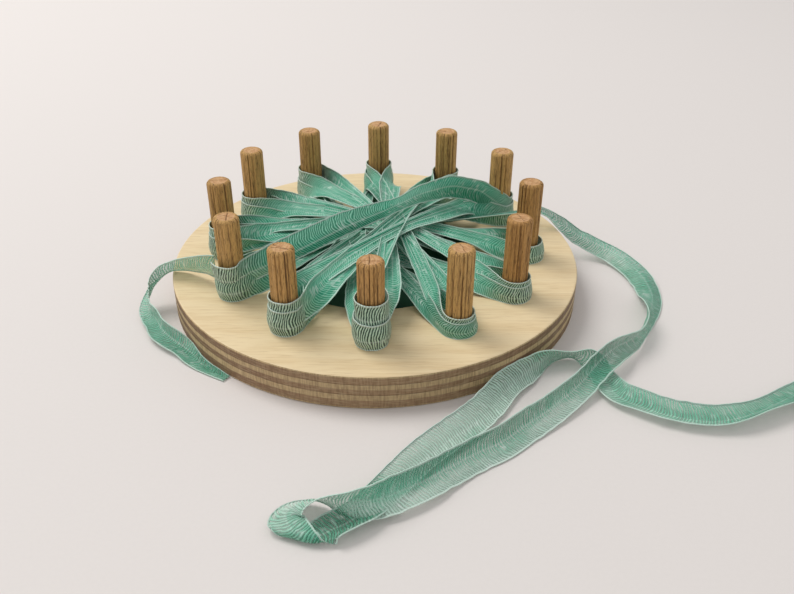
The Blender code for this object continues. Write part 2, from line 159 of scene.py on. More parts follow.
# %% Sections of a run of ribbon
# What each row of a run says after x, y and z
LOOKS = ("lean", "cup", "crease", "width", "pleat", "pale", "fold", "open", "painted_side_light")
SOFTEST_BEND = 0.3
CREASE_SHARPNESS = 4.0
PLEATS_ACROSS = 3
CRINKLE = 0.00026
CRINKLE_SCALE = 260.0
CRINKLES_ACROSS = 1.1
EDGE_WAVE = 0.05
EDGE_WAVE_SCALE = 330.0
FLOOR_EASE = 6


def looks_of(run):
    """What the rows say beside their places, by name."""
    return dict(zip(LOOKS, run[:, 3:].T[..., None]))


def from_middle(steps):
    """Distances from the ribbon's middle, from the steps between its columns."""
    total = np.concatenate([np.zeros((len(steps), 1)), np.cumsum(steps, axis=1)], axis=1)
    return total - total[:, COLUMNS // 2, None]


def crinkles(along, seed):
    """Small soft dents in the sheet, never in its corded edges."""
    found = np.zeros((len(along), COLUMNS))
    for row, place in enumerate(along):
        for column in range(1, COLUMNS - 1):
            spot = Vector((place * CRINKLE_SCALE, ACROSS[column] * CRINKLES_ACROSS, seed))
            found[row, column] = noise.noise(spot)
    return found * CRINKLE * (1 - ACROSS**4)


def sections(looks, along, seed):
    """The cupped and pleated section at each row: its angles, and how far left and up its columns lie."""
    sharp = SOFTEST_BEND + looks["crease"] * CREASE_SHARPNESS
    bent = np.tanh(sharp * (ACROSS - looks["fold"])) / np.tanh(sharp * (1 + np.abs(looks["fold"])))
    angle = np.radians(looks["lean"]) + np.radians(looks["cup"]) * bent
    wave = [noise.noise(Vector((place * EDGE_WAVE_SCALE, seed, 0.0))) for place in along]
    step = looks["width"] * (1 + EDGE_WAVE * np.array(wave)[:, None]) / (COLUMNS - 1)
    middle_angle = (angle[:, 1:] + angle[:, :-1]) / 2
    bulge = looks["pleat"] * np.cos(PLEATS_ACROSS * math.pi * ACROSS) + crinkles(along, seed)
    sideways = from_middle(np.cos(middle_angle) * step) - np.sin(angle) * bulge
    upwards = from_middle(np.sin(middle_angle) * step) + np.cos(angle) * bulge
    return angle, sideways, upwards


print("beside its place a row says", *LOOKS)

# %% Place the rings
def strip_points(run, seed, on_floor, bend):
    """The rings of points that the strip is skinned from."""
    centres = run[:, :3]
    forward = np.gradient(centres, axis=0)
    forward /= np.linalg.norm(forward, axis=1)[:, None]
    side = np.stack([-forward[:, 1], forward[:, 0], np.zeros(len(run))], axis=1)
    side /= np.linalg.norm(side, axis=1)[:, None]
    upward = np.cross(forward, side)
    angle, sideways, upwards = sections(looks_of(run), np.arange(len(run)) * RING_SPACING, seed)
    beads = CORD_RADIUS * (1 + CORD_BEAD * (np.arange(len(run)) % 2)[:, None])
    stand_off = np.where(RING_IS_CORD, beads, SHEET_HALF)
    around = angle[:, RING_COLUMNS] + np.radians(RING_TURNS)
    ring_side = sideways[:, RING_COLUMNS] + np.cos(around) * stand_off
    ring_up = upwards[:, RING_COLUMNS] + np.sin(around) * stand_off
    points = centres[:, None] + side[:, None] * ring_side[..., None] + upward[:, None] * ring_up[..., None]
    if bend:
        points = bend(points)
    if on_floor:
        lift = np.maximum(0.0, FLOOR_CLEARANCE - points[..., 2].min(axis=1))
        points[..., 2] += smoothed(lift[:, None], FLOOR_EASE)
        points[..., 2] = np.maximum(points[..., 2], FLOOR_CLEARANCE)
    return points


print("sheet", round(2000 * SHEET_HALF, 2), "mm thick, cords", round(2000 * CORD_RADIUS, 2), "mm")

# %% Turn rings into a mesh
SIDE_SHARPNESS = 2.5
# How much painted glint the yarn gets before one side of its fold gets more
EVEN_PAINTED_GLINT = 0.5


def write_value(mesh, name, values):
    """A number at each point of the mesh, for its material to read."""
    attribute = mesh.attributes.new(name, "FLOAT", "POINT")
    attribute.data.foreach_set("value", np.ravel(values).astype(np.float32))


def ring_mesh(name, points, rings):
    """A closed skin over rings that run anticlockwise about the way they follow, with a lid at each end."""
    corner = np.arange(len(points)).reshape(rings, -1)
    after = np.roll(corner, -1, axis=1)
    quads = np.stack([corner[:-1], after[:-1], after[1:], corner[1:]], axis=-1).reshape(-1, 4)
    mesh = bpy.data.meshes.new(name)
    mesh.from_pydata(points, [], [*quads.tolist(), corner[0][::-1].tolist(), corner[-1].tolist()])
    mesh.shade_smooth()
    return mesh


def ribbon_strip(name, run, material, seed, on_floor=False, bend=None):
    """One closed strip along the run, with the numbers that its material reads."""
    points = strip_points(run, seed, on_floor, bend)
    rings, count = points.shape[:2]
    mesh = ring_mesh(name, points.reshape(-1, 3).tolist(), rings)
    along = np.arange(rings) * RING_SPACING
    across = ACROSS[RING_COLUMNS]
    looks = looks_of(run)
    write_value(mesh, "across", np.tile(across, rings))
    write_value(mesh, "along", np.repeat(along, count))
    for label in ("crease", "fold", "open", "pleat"):
        write_value(mesh, label, np.repeat(looks[label], count))
    # Painted side light: one side of the fold is painted paler and gets more painted glint
    side_light_share = np.tanh(SIDE_SHARPNESS * (across - looks["fold"])) * looks["painted_side_light"]
    write_value(mesh, "pale", looks["pale"] + side_light_share)
    write_value(mesh, "painted_glint_weight", EVEN_PAINTED_GLINT + side_light_share)
    mesh.materials.append(material)
    print(name, round(along[-1], 3), "m,", len(mesh.polygons), "faces")
    return stand(name, mesh)


# %% [markdown]
# ## Nodes in short words
# A material is a small graph, and each value, colour or place runs through it on a wire. The helpers hold
# one wire each, so that a finish can be read from top to bottom like a recipe: Python's own signs add Math
# nodes, and a few short words add the others. What more than one material uses becomes a node group with
# named sockets.

# %% Node helpers
# A Mix node has two sides and an output for each kind of thing. These are the numbers of its colour sockets
MIX_SIDES = (6, 7)
MIX_RESULT = 2


class Wire:
    """A value, colour or place in a node tree. The signs + - * / ** and abs() add a Math node each."""

    def __init__(self, socket):
        self.socket = socket
        self.tree = socket.id_data

    def maths(self, operation, *others, clamp=False):
        """A Math node with this wire in its first socket."""
        node = new_node(self.tree, "Math", self, *others)
        node.operation = operation
        node.use_clamp = clamp
        return Wire(node.outputs[0])

    def scaled(self, factor, plus, clamp=False):
        """This wire times a factor, plus something."""
        return self.maths("MULTIPLY_ADD", factor, plus, clamp=clamp)

    def __add__(self, other):
        return self.maths("ADD", other)

    def __sub__(self, other):
        return self.maths("SUBTRACT", other)

    def __rsub__(self, other):
        return self.scaled(-1.0, other)

    def __mul__(self, other):
        return self.maths("MULTIPLY", other)

    def __truediv__(self, other):
        return self.maths("DIVIDE", other)

    def __pow__(self, other):
        return self.maths("POWER", other)

    def __abs__(self):
        return self.maths("ABSOLUTE")


def feed(socket, value):
    """A socket gets a wire, or a plain value."""
    if isinstance(value, Wire):
        socket.id_data.links.new(value.socket, socket)
    else:
        socket.default_value = value


def new_node(tree, kind, *values):
    """A node with its first sockets fed in their order."""
    node = tree.nodes.new("ShaderNode" + kind)
    for socket, value in zip(node.inputs, values):
        feed(socket, value)
    return node


def fill(node, **values):
    """A node's sockets fed by name, with underscores for spaces."""
    for label, value in values.items():
        feed(node.inputs[label.replace("_", " ")], value)


def ramp(value, low, high, to_low=0.0, to_high=1.0, smooth=True):
    """The value's part between low and high, stretched to a new range."""
    node = new_node(value.tree, "MapRange", value, low, high, to_low, to_high)
    node.interpolation_type = "SMOOTHSTEP" if smooth else "LINEAR"
    return Wire(node.outputs[0])


def mixed(share, first, second, how="MIX"):
    """Two colours mixed by a share."""
    tree = (share if isinstance(share, Wire) else first).tree
    node = new_node(tree, "Mix", share)
    node.data_type = "RGBA"
    node.blend_type = how
    for side, colour in zip(MIX_SIDES, (first, second)):
        feed(node.inputs[side], colour)
    return Wire(node.outputs[MIX_RESULT])


def cloudy(place, scale=1.0, detail=3.0, roughness=0.5):
    """A noise value from 0 to 1 over a place."""
    node = new_node(place.tree, "TexNoise")
    fill(node, Vector=place, Scale=scale, Detail=detail, Roughness=roughness)
    return Wire(node.outputs[0])


def stored(tree, name):
    """A number that the mesh carries at its points."""
    node = new_node(tree, "Attribute")
    node.attribute_name = name
    return Wire(node.outputs["Fac"])


def place_of(tree, scale=(1.0, 1.0, 1.0)):
    """The point's place on the object, stretched by a scale."""
    here = Wire(new_node(tree, "TexCoord").outputs["Object"])
    node = new_node(tree, "Mapping", here)
    fill(node, Scale=scale)
    return Wire(node.outputs["Vector"])


def joined(x, y, z=0.0):
    """A place made of three values."""
    return Wire(new_node(x.tree, "CombineXYZ", x, y, z).outputs[0])


def split(place):
    """The three values of a place or a direction."""
    return [Wire(socket) for socket in new_node(place.tree, "SeparateXYZ", place).outputs]


def bumped(height, strength, distance):
    """A normal that the height tilts."""
    node = new_node(height.tree, "Bump")
    fill(node, Strength=strength, Distance=distance, Height=height)
    return Wire(node.outputs[0])


# %% Group and material helpers
# What a group's socket carries, where it is not a plain number
SOCKET_KINDS = {"Color": "Color", "Place": "Vector"}


def new_group(name, inputs, outputs):
    """An empty node group with named inputs, each with a starting value or None, and named outputs."""
    group = bpy.data.node_groups.new(name, "ShaderNodeTree")
    for label in (*inputs, *outputs):
        kind = "NodeSocket" + SOCKET_KINDS.get(label, "Float")
        way = "INPUT" if label in inputs else "OUTPUT"
        socket = group.interface.new_socket(name=label, in_out=way, socket_type=kind)
        if inputs.get(label) is not None:
            socket.default_value = inputs[label]
    entry = group.nodes.new("NodeGroupInput")
    given = {label: Wire(entry.outputs[label]) for label in inputs}
    return given, group.nodes.new("NodeGroupOutput"), group


def use_group(tree, group, **values):
    """The group placed in a material, with its inputs and outputs by name."""
    node = new_node(tree, "Group")
    node.node_tree = group
    fill(node, **values)
    return {socket.name: Wire(socket) for socket in node.outputs}


def new_material(name):
    """A material, its node tree and its main shader."""
    material = bpy.data.materials.new(name)
    material.use_nodes = True
    return material, material.node_tree, material.node_tree.nodes["Principled BSDF"]


def srgb(*levels):
    """A colour as a paint chart gives it, from 0 to 255, as the linear numbers that shaders use."""
    shares = [level / 255 for level in levels]
    return (*(s / 12.92 if s <= 0.04045 else ((s + 0.055) / 1.055) ** 2.4 for s in shares), 1.0)


print("half of 255 on a paint chart is", round(srgb(127.5)[0], 3), "of the light")

# %% [markdown]
# ## Ladder yarn
# The yarn is a ladder: two corded edges, pale because the dye takes badly there, and fine shiny threads
# that run from one to the other in soft arcs. Light falls through between the threads, so the ladder's gaps
# are half clear. The threads are far too fine to model one by one along four metres, so a group turns the
# place across and along the ribbon into masks, and the cords alone are geometry.

# %% Group: ladder threads
THREAD_PITCH = 0.00086
HUB_PLEAT = 0.00034
ARC_POWER = 1.5
WOBBLE = 2.4
FINE_THREADS = 1.2


def thread_group():
    """Masks of the threads, their glints and the corded edges, and the height of the weave."""
    inputs = {"Across": 0.0, "Along": 0.0, "Pitch": THREAD_PITCH, "Bow": 1.0, "Contrast": 0.4}
    given, result, group = new_group("ladder threads", inputs, ("Thread", "Glint", "Edge", "Height"))
    across, along = given["Across"], given["Along"]
    outward = abs(across)
    wobble = (cloudy(joined(along * 300.0, across)) - 0.5) * WOBBLE
    phase = along / given["Pitch"] + outward**ARC_POWER * given["Bow"] + wobble
    wave = (phase * FULL_TURN).maths("SINE")
    fine = cloudy(joined(phase * 2.3, across * 0.9), detail=2.0) - 0.5
    thread = fine.scaled(FINE_THREADS, wave.scaled(given["Contrast"], 0.5), clamp=True)
    spark = ramp(cloudy(joined(phase * 0.9, across * 1.4, 7.0), detail=1.0), 0.50, 0.66)
    patch = ramp(cloudy(joined(along * 95.0, across * 1.3, 3.0), detail=1.0), 0.46, 0.62)
    edge = ramp(outward, 0.90, 0.96)
    fill(result, Thread=thread, Glint=spark * patch, Edge=edge, Height=thread * (1 - edge))
    return group


LADDER = thread_group()
print(LADDER.name, "has", len(LADDER.nodes), "nodes")

# %% Group: hand dye
DEEP_DYE = srgb(2, 128, 96)
FULL_DYE = srgb(26, 166, 130)
THIN_DYE = srgb(140, 206, 180)
BARE_YARN = srgb(224, 240, 230)
# Each weaker dye, with the paleness at which it starts and at which it is all there is
DYE_STEPS = ((FULL_DYE, 0.0, 0.42), (THIN_DYE, 0.38, 0.8), (BARE_YARN, 0.78, 1.1))
SLOW_CHANGE = 1.1
QUICK_CHANGE = 0.45


def dye_group():
    """The dye's colour from how pale the yarn is there, in long clouds and short flecks."""
    given, result, group = new_group("hand dye", {"Along": 0.0, "Across": 0.0, "Pale": 0.5}, ("Color",))
    slow = cloudy(joined(given["Along"] * 42.0, given["Across"] * 0.5)) - 0.5
    quick = cloudy(joined(given["Along"] * 260.0, given["Across"])) - 0.5
    pale = quick.scaled(QUICK_CHANGE, slow.scaled(SLOW_CHANGE, given["Pale"]), clamp=True)
    colour = DEEP_DYE
    for dye, start, full in DYE_STEPS:
        colour = mixed(ramp(pale, start, full, smooth=False), colour, dye)
    fill(result, Color=colour)
    return group


DYE = dye_group()
print(DYE.name, "has", len(DYE.nodes), "nodes")

# %% The two ribbon materials
# Painted light on the yarn: glints, highlights on the crests of its threads, and shade in the gaps between
# them
PAINTED_GLINT = srgb(232, 246, 238)
CREST_HIGHLIGHT = srgb(156, 216, 190)
# Painted shade in the gaps between threads: where the ladder lies closed, and where it is pulled open
THREAD_SHADE = srgb(134, 184, 162)
GAP_SHADE = srgb(22, 40, 28)
# The paler grey of yarn pulled open, and the painted highlight on the crests of its open threads
PALE_OPEN_YARN_AND_HIGHLIGHT = srgb(200, 220, 196)
PLEAT_LINES = 5 * math.pi
THREAD_HEIGHT = 0.00022


def ribbon_material(name, bow, contrast, clear, glint):
    """Ladder yarn. Its threads bow and stand out from each other by so much. Clear is how much light the gaps
    let through, and glint the roughness of the threads."""
    material, tree, shader = new_material(name)
    across, along, opened_out = (stored(tree, label) for label in ("across", "along", "open"))
    arcs = opened_out.scaled(-0.6 * bow, bow)
    ladder = use_group(tree, LADDER, Across=across, Along=along, Bow=arcs, Contrast=contrast)
    dyed = use_group(tree, DYE, Along=along, Across=across, Pale=stored(tree, "pale"))["Color"]
    # The dyed threads, paler where the ladder is pulled open, with painted shade in the gaps between them,
    # above all where it is pulled open
    dyed = mixed(opened_out * 0.4, dyed, PALE_OPEN_YARN_AND_HIGHLIGHT)
    gap_shade = mixed(opened_out, mixed(1.0, dyed, THREAD_SHADE, "MULTIPLY"), GAP_SHADE)
    colour = mixed((1 - ladder["Thread"]) * opened_out.scaled(0.52, 0.44), dyed, gap_shade)
    # Painted highlights on their crests, and painted satin glints
    crest_highlight = ladder["Thread"] ** 3.0 * opened_out.scaled(0.3, 0.48)
    colour = mixed(crest_highlight, colour, mixed(opened_out, CREST_HIGHLIGHT, PALE_OPEN_YARN_AND_HIGHLIGHT), "LIGHTEN")
    painted_glint_share = ladder["Glint"] * opened_out.scaled(-0.4, 0.8)
    colour = mixed(painted_glint_share.maths("MULTIPLY", stored(tree, "painted_glint_weight"), clamp=True), colour, PAINTED_GLINT)
    # A painted highlight along the crease and along each pleat's ridge, and the pale corded edges
    crease = ramp(abs(across - stored(tree, "fold")), 0.10, 0.02) * (stored(tree, "crease") * 0.35)
    ridge = ramp((across * PLEAT_LINES).maths("COSINE"), 0.72, 0.98)
    pleat_highlight = ridge * (stored(tree, "pleat") / HUB_PLEAT * 0.75)
    colour = mixed(crease.maths("MAXIMUM", pleat_highlight), colour, BARE_YARN)
    solid = ramp(ladder["Thread"], 0.15, 0.8, 1.0 - clear, 1.0 - clear * 0.3)
    fill(
        shader,
        Base_Color=mixed(ladder["Edge"] * 0.6, colour, BARE_YARN),
        Roughness=ramp(ladder["Glint"], 0.0, 1.0, glint + 0.2, glint),
        Alpha=ladder["Edge"].maths("MAXIMUM", solid),
        Normal=bumped(ladder["Height"], 0.7, THREAD_HEIGHT),
        Sheen_Weight=0.2,
        Sheen_Roughness=0.4,
    )
    return material


WOUND_YARN = ribbon_material("ribbon_wound", bow=3.0, contrast=0.75, clear=0.06, glint=0.30)
LOOSE_YARN = ribbon_material("ribbon_loose", bow=2.0, contrast=0.32, clear=0.72, glint=0.26)
for yarn in (WOUND_YARN, LOOSE_YARN):
    print(yarn.name, "has", len(yarn.node_tree.nodes), "nodes")

# %% [markdown]
# ## The two free ends
# The yarn is one piece. Its beginning comes out low from behind a peg at the right, drops over the rim,
# swings round on the table, doubles back in a hairpin at the front left and leaves the picture. The rest of
# it is wound up beside the loom. Its other end leaves the last wrap at the left, falls over the rim and
# slips in under the board. Both follow listed points, read through a smooth curve. Beside each
# point stand the lean, the cup, how sharp the fold is and where it runs, the width, how little dye the yarn
# took there, and the painted side light: how much paler one side of the fold is painted than the other.

# %% Courses of the free ends
# x, y, height, lean, cup, crease, fold, width, pale, and the painted side light: how much paler one side of
# the fold is painted
TO_THE_FOLD = (
    (0.0632, 0.0208, 0.0172, 24, 34, 0.2, 0.0, 0.0034, 0.22, 0.0),
    (0.0666, 0.0203, 0.0150, 36, 10, 0.3, 0.0, 0.0044, 0.26, 0.0),
    (0.0706, 0.0197, 0.0124, 40, -20, 0.5, 0.0, 0.0056, 0.32, 0.0),
    (0.0750, 0.0190, 0.0094, 40, -32, 0.8, 0.0, 0.0068, 0.40, 0.0),
    (0.0790, 0.0186, 0.0076, 36, -34, 0.8, 0.0, 0.0076, 0.48, 0.0),
    (0.0828, 0.0178, 0.0060, 28, -34, 0.8, 0.0, 0.0082, 0.52, -0.06),
    (0.0870, 0.0160, 0.0046, 18, -30, 0.8, 0.0, 0.0088, 0.58, -0.10),
    (0.0915, 0.0100, 0.0038, 14, -30, 0.8, 0.0, 0.0090, 0.60, -0.12),
    (0.0948, 0.0010, 0.0034, 10, -30, 0.8, 0.0, 0.0092, 0.60, -0.12),
    (0.0960, -0.0096, 0.0028, -6, -32, 0.8, 0.0, 0.0092, 0.54, -0.10),
    (0.0945, -0.0176, 0.0032, -30, -20, 0.6, 0.0, 0.0086, 0.50, 0.0),
    (0.0919, -0.0239, 0.0030, -56, 10, 0.4, 0.0, 0.0076, 0.42, 0.0),
    (0.0880, -0.0322, 0.0037, -84, 30, 0.4, 0.0, 0.0072, 0.34, 0.0),
    (0.0836, -0.0388, 0.0040, -84, 40, 0.5, 0.0, 0.0074, 0.26, 0.0),
    (0.0790, -0.0436, 0.0046, -68, 44, 0.7, -0.1, 0.0078, 0.14, 0.0),
    (0.0744, -0.0486, 0.0052, -54, 40, 0.8, -0.2, 0.0084, 0.12, 0.0),
    (0.0682, -0.0550, 0.0048, -49, 38, 0.8, -0.1, 0.0088, 0.20, 0.10),
    (0.0606, -0.0638, 0.0036, -48, 36, 0.8, 0.0, 0.0092, 0.44, 0.30),
    (0.0553, -0.0690, 0.0030, -47, 36, 0.8, 0.0, 0.0096, 0.60, 0.44),
    (0.0495, -0.0744, 0.0025, -47, 34, 0.8, 0.0, 0.0099, 0.64, 0.48),
    (0.0430, -0.0798, 0.0022, -46, 32, 0.8, 0.0, 0.0101, 0.62, 0.50),
    (0.0358, -0.0862, 0.0020, -46, 32, 0.8, 0.0, 0.0101, 0.60, 0.50),
    (0.0281, -0.0912, 0.0022, -48, 32, 0.8, 0.0, 0.0101, 0.58, 0.50),
    (0.0211, -0.0966, 0.0027, -48, 32, 0.8, 0.0, 0.0101, 0.60, 0.48),
    (0.0146, -0.1022, 0.0036, -46, 32, 0.8, 0.0, 0.0100, 0.64, 0.44),
    (0.0079, -0.1067, 0.0042, -48, 28, 0.7, 0.0, 0.0098, 0.68, 0.38),
    (0.0018, -0.1098, 0.0046, -60, 26, 0.6, 0.0, 0.0093, 0.72, 0.24),
    (-0.0046, -0.1108, 0.0050, -88, 20, 0.5, 0.0, 0.0085, 0.78, 0.08),
    (-0.0096, -0.1100, 0.0050, -118, 14, 0.5, 0.0, 0.0078, 0.86, 0.0),
    (-0.0130, -0.1094, 0.0044, -140, 16, 0.6, 0.0, 0.0076, 0.90, 0.0),
    (-0.0160, -0.1096, 0.0039, -152, 20, 0.8, 0.0, 0.0080, 0.94, 0.0),
    (-0.0184, -0.1109, 0.0035, -163, 22, 0.8, 0.0, 0.0086, 0.94, 0.0),
    (-0.0196, -0.1132, 0.0033, -170, 20, 0.8, 0.0, 0.0090, 0.92, 0.0),
    (-0.0190, -0.1154, 0.0032, -176, 12, 0.8, 0.0, 0.0091, 0.88, 0.0),
    (-0.0175, -0.1178, 0.0031, -180, 4, 0.5, 0.0, 0.0091, 0.78, 0.0),
)
FROM_THE_FOLD = (
    (-0.0132, -0.1187, 0.0003, -180, 4, 0.5, 0.0, 0.0092, 0.40, 0.0),
    (-0.0106, -0.1174, 0.0006, -184, 14, 0.7, 0.0, 0.0095, 0.12, 0.0),
    (-0.0074, -0.1157, 0.0010, -187, 24, 0.8, 0.0, 0.0096, 0.10, 0.0),
    (-0.0040, -0.1139, 0.0013, -187, 28, 0.8, 0.0, 0.0096, 0.12, 0.0),
    (0.0000, -0.1105, 0.0014, -180, 26, 0.7, 0.0, 0.0093, 0.34, 0.0),
    (0.0042, -0.1048, 0.0013, -174, 20, 0.5, -0.1, 0.0091, 0.66, 0.0),
    (0.0086, -0.0984, 0.0012, -170, 16, 0.5, -0.2, 0.0091, 1.00, 0.04),
    (0.0134, -0.0921, 0.0013, -168, 16, 0.6, -0.2, 0.0093, 1.10, 0.06),
    (0.0190, -0.0862, 0.0014, -166, 18, 0.7, -0.2, 0.0096, 1.12, 0.06),
    (0.0248, -0.0806, 0.0014, -166, 20, 0.7, -0.2, 0.0098, 1.12, 0.08),
    (0.0306, -0.0748, 0.0015, -164, 22, 0.7, -0.25, 0.0098, 1.12, 0.08),
    (0.0352, -0.0688, 0.0018, -160, 24, 0.8, -0.25, 0.0096, 1.12, 0.10),
    (0.0400, -0.0616, 0.0023, -156, 24, 0.8, -0.25, 0.0090, 1.10, 0.10),
    (0.0466, -0.0556, 0.0030, -134, 22, 0.6, -0.1, 0.0080, 1.00, 0.0),
    (0.0525, -0.0506, 0.0036, -94, 18, 0.4, 0.0, 0.0072, 0.86, 0.0),
    (0.0580, -0.0480, 0.0036, -60, 14, 0.3, 0.0, 0.0068, 0.80, 0.0),
    (0.0630, -0.0474, 0.0034, -56, 12, 0.3, 0.0, 0.0068, 0.78, 0.0),
    (0.0666, -0.0492, 0.0024, -104, 14, 0.3, 0.0, 0.0070, 0.80, 0.0),
    (0.0694, -0.0536, 0.0010, -174, 10, 0.4, 0.0, 0.0078, 0.84, 0.0),
    (0.0710, -0.0590, 0.0009, -178, 14, 0.5, -0.1, 0.0088, 0.80, 0.0),
    (0.0736, -0.0650, 0.0012, -178, 20, 0.7, -0.2, 0.0095, 0.76, -0.06),
    (0.0780, -0.0684, 0.0013, -182, 26, 0.7, -0.25, 0.0095, 0.66, -0.10),
    (0.0834, -0.0720, 0.0014, -184, 28, 0.8, -0.25, 0.0094, 0.66, -0.12),
    (0.0908, -0.0746, 0.0014, -184, 28, 0.8, -0.25, 0.0094, 0.64, -0.12),
    (0.0986, -0.0756, 0.0014, -186, 30, 0.8, -0.2, 0.0092, 0.62, -0.10),
    (0.1053, -0.0748, 0.0018, -190, 34, 0.8, -0.1, 0.0088, 0.56, 0.0),
    (0.1110, -0.0730, 0.0020, -194, 38, 0.8, 0.0, 0.0082, 0.40, 0.0),
    (0.1166, -0.0702, 0.0020, -192, 34, 0.7, 0.1, 0.0084, 0.40, 0.0),
    (0.1240, -0.0656, 0.0014, -186, 26, 0.5, 0.1, 0.0090, 0.46, 0.0),
    (0.1350, -0.0595, 0.0008, -180, 20, 0.3, 0.0, 0.0090, 0.50, 0.0),
)
LEFT_TAIL = (
    (-0.0532, -0.0216, 0.0186, 88, 16, 0.2, 0.0, 0.0086, 0.66, 0.0),
    (-0.0566, -0.0200, 0.0178, 78, 22, 0.4, 0.1, 0.0084, 0.72, 0.0),
    (-0.0612, -0.0178, 0.0162, 68, 26, 0.5, 0.1, 0.0082, 0.78, 0.0),
    (-0.0660, -0.0160, 0.0146, 58, 30, 0.5, 0.1, 0.0080, 0.80, 0.0),
    (-0.0700, -0.0157, 0.0132, 52, 34, 0.5, 0.1, 0.0076, 0.76, 0.0),
    (-0.0726, -0.0159, 0.0110, 46, 36, 0.4, 0.0, 0.0072, 0.68, 0.0),
    (-0.0746, -0.0168, 0.0084, 46, 36, 0.4, 0.0, 0.0068, 0.58, 0.0),
    (-0.0758, -0.0188, 0.0060, 50, 34, 0.4, 0.0, 0.0068, 0.50, 0.0),
    (-0.0762, -0.0218, 0.0044, 54, 30, 0.5, 0.0, 0.0070, 0.46, 0.0),
    (-0.0750, -0.0250, 0.0036, 58, 30, 0.6, 0.0, 0.0074, 0.44, 0.04),
    (-0.0718, -0.0293, 0.0032, 54, 34, 0.8, 0.1, 0.0078, 0.46, 0.08),
    (-0.0686, -0.0349, 0.0028, 48, 36, 0.9, 0.1, 0.0080, 0.48, 0.10),
    (-0.0641, -0.0394, 0.0022, 36, 32, 0.9, 0.1, 0.0076, 0.46, 0.10),
    (-0.0598, -0.0429, 0.0012, 14, 16, 0.8, 0.2, 0.0066, 0.42, 0.08),
    (-0.0562, -0.0471, 0.0006, 4, 6, 0.5, 0.4, 0.0058, 0.40, 0.0),
    (-0.0521, -0.0508, 0.0004, 3, 2, 0.2, 0.0, 0.0046, 0.40, 0.0),
    (-0.0480, -0.0538, 0.0004, 3, 0, 0.0, 0.0, 0.0036, 0.42, 0.0),
    (-0.0441, -0.0566, 0.0004, 3, 0, 0.0, 0.0, 0.0025, 0.46, 0.0),
)
START_JOINT = (0.05993, 0.02158, 0.0185)
END_JOINT = (-0.05181, -0.02169, 0.0186)
GATHERED_WIDTH = 0.0030
GATHERED_PLEAT = 0.00028
OPENING_RUN = 0.012
LOOSE_OPEN = 0.12
COURSE_SPACING = 0.002


def smooth_course(points):
    """A smooth curve through the chosen points and what is written beside them."""
    points = np.array(points, dtype=float)
    places = distances(points)
    slopes = np.gradient(points, places, axis=0)
    rows = [points[0]]
    for index in range(len(points) - 1):
        span = places[index + 1] - places[index]
        pieces = math.ceil(span / COURSE_SPACING)
        for piece in range(1, pieces + 1):
            t = piece / pieces
            start_weight = (1 + 2 * t) * (1 - t) ** 2
            start_slope = span * t * (1 - t) ** 2
            end_slope = -span * t**2 * (1 - t)
            between = start_weight * points[index] + (1 - start_weight) * points[index + 1]
            rows.append(between + start_slope * slopes[index] + end_slope * slopes[index + 1])
    return np.array(rows)


def toward(angle):
    """A step of length 1 at this angle, seen from above."""
    return np.array([math.cos(angle), math.sin(angle)])


def left_of(direction):
    """The direction that lies to the left of another, seen from above."""
    return np.array([-direction[1], direction[0]])


print("chosen points:", len(TO_THE_FOLD) + len(FROM_THE_FOLD), "right,", len(LEFT_TAIL), "left")

# %% The fold
# Between the two lists the ribbon is folded under, as round a thin rod that lies on the table
ROD_MIDDLE = np.array((-0.0153, -0.1182))
ROD_ALONG = toward(math.radians(-14))
ROD_OUTWARD = -left_of(ROD_ALONG)
ROD_RADIUS = 0.0014
ROD_HEIGHT = 0.0017
HALF_ROUND = math.pi * ROD_RADIUS


def unfolded(course):
    """The rows after the fold as they would lie if it were opened out: half a turn about the rod."""
    course = np.array(course, dtype=float)
    plan = course[:, :2] - ROD_MIDDLE
    outward = HALF_ROUND - plan @ ROD_OUTWARD
    course[:, :2] = ROD_MIDDLE + np.outer(plan @ ROD_ALONG, ROD_ALONG) + np.outer(outward, ROD_OUTWARD)
    course[:, 2] = 2 * ROD_HEIGHT - course[:, 2]
    return course


def folded(points):
    """Points of the opened ribbon, rolled round the rod and laid back under it."""
    points = points.copy()
    outward = (points[..., :2] - ROD_MIDDLE) @ ROD_OUTWARD
    turn = np.clip(outward / ROD_RADIUS, 0.0, math.pi)
    from_rod = points[..., 2] - ROD_HEIGHT
    from_rod = np.where((turn > 0) & (turn < math.pi), np.maximum(from_rod, ROD_RADIUS / 2), from_rod)
    back = np.maximum(outward - HALF_ROUND, 0.0)
    laid = np.minimum(outward, 0.0) + from_rod * np.sin(turn) - back
    points[..., :2] += (laid - outward)[..., None] * ROD_OUTWARD
    points[..., 2] = ROD_HEIGHT + from_rod * np.cos(turn)
    return points


print("half way round the rod:", round(HALF_ROUND * 1000, 1), "mm")

# %% The put-away coil
COIL_ENTRY = (0.1550, -0.0485)
COIL_HEADING = math.radians(33)
COIL_LEAD = 0.007
COIL_RADIUS = 0.0515
COIL_LOOP_COUNT = 2
COIL_LOOP_POINTS = 24
COIL_LOOK = (0.0006, -180, 16, 0.2, 0.0, RIBBON_WIDTH, 0.55, 0.0)


def coil_course():
    """The put-away length: a flat spiral on the table, each turn one ribbon's width inside the last."""
    heading = toward(COIL_HEADING)
    centre = np.array(COIL_ENTRY) - COIL_RADIUS * left_of(heading) + heading * COIL_LEAD
    rows = []
    for step in range(COIL_LOOP_COUNT * COIL_LOOP_POINTS + 1):
        turns = step / COIL_LOOP_POINTS
        outward = toward(COIL_HEADING + math.pi / 2 - FULL_TURN * turns)
        rows.append((*(centre + (COIL_RADIUS - RIBBON_WIDTH * turns) * outward), *COIL_LOOK))
    return rows


print("coil:", COIL_LOOP_COUNT, "turns,", len(coil_course()), "points")

# %% Lay the free ends
PATH_STEP = 6


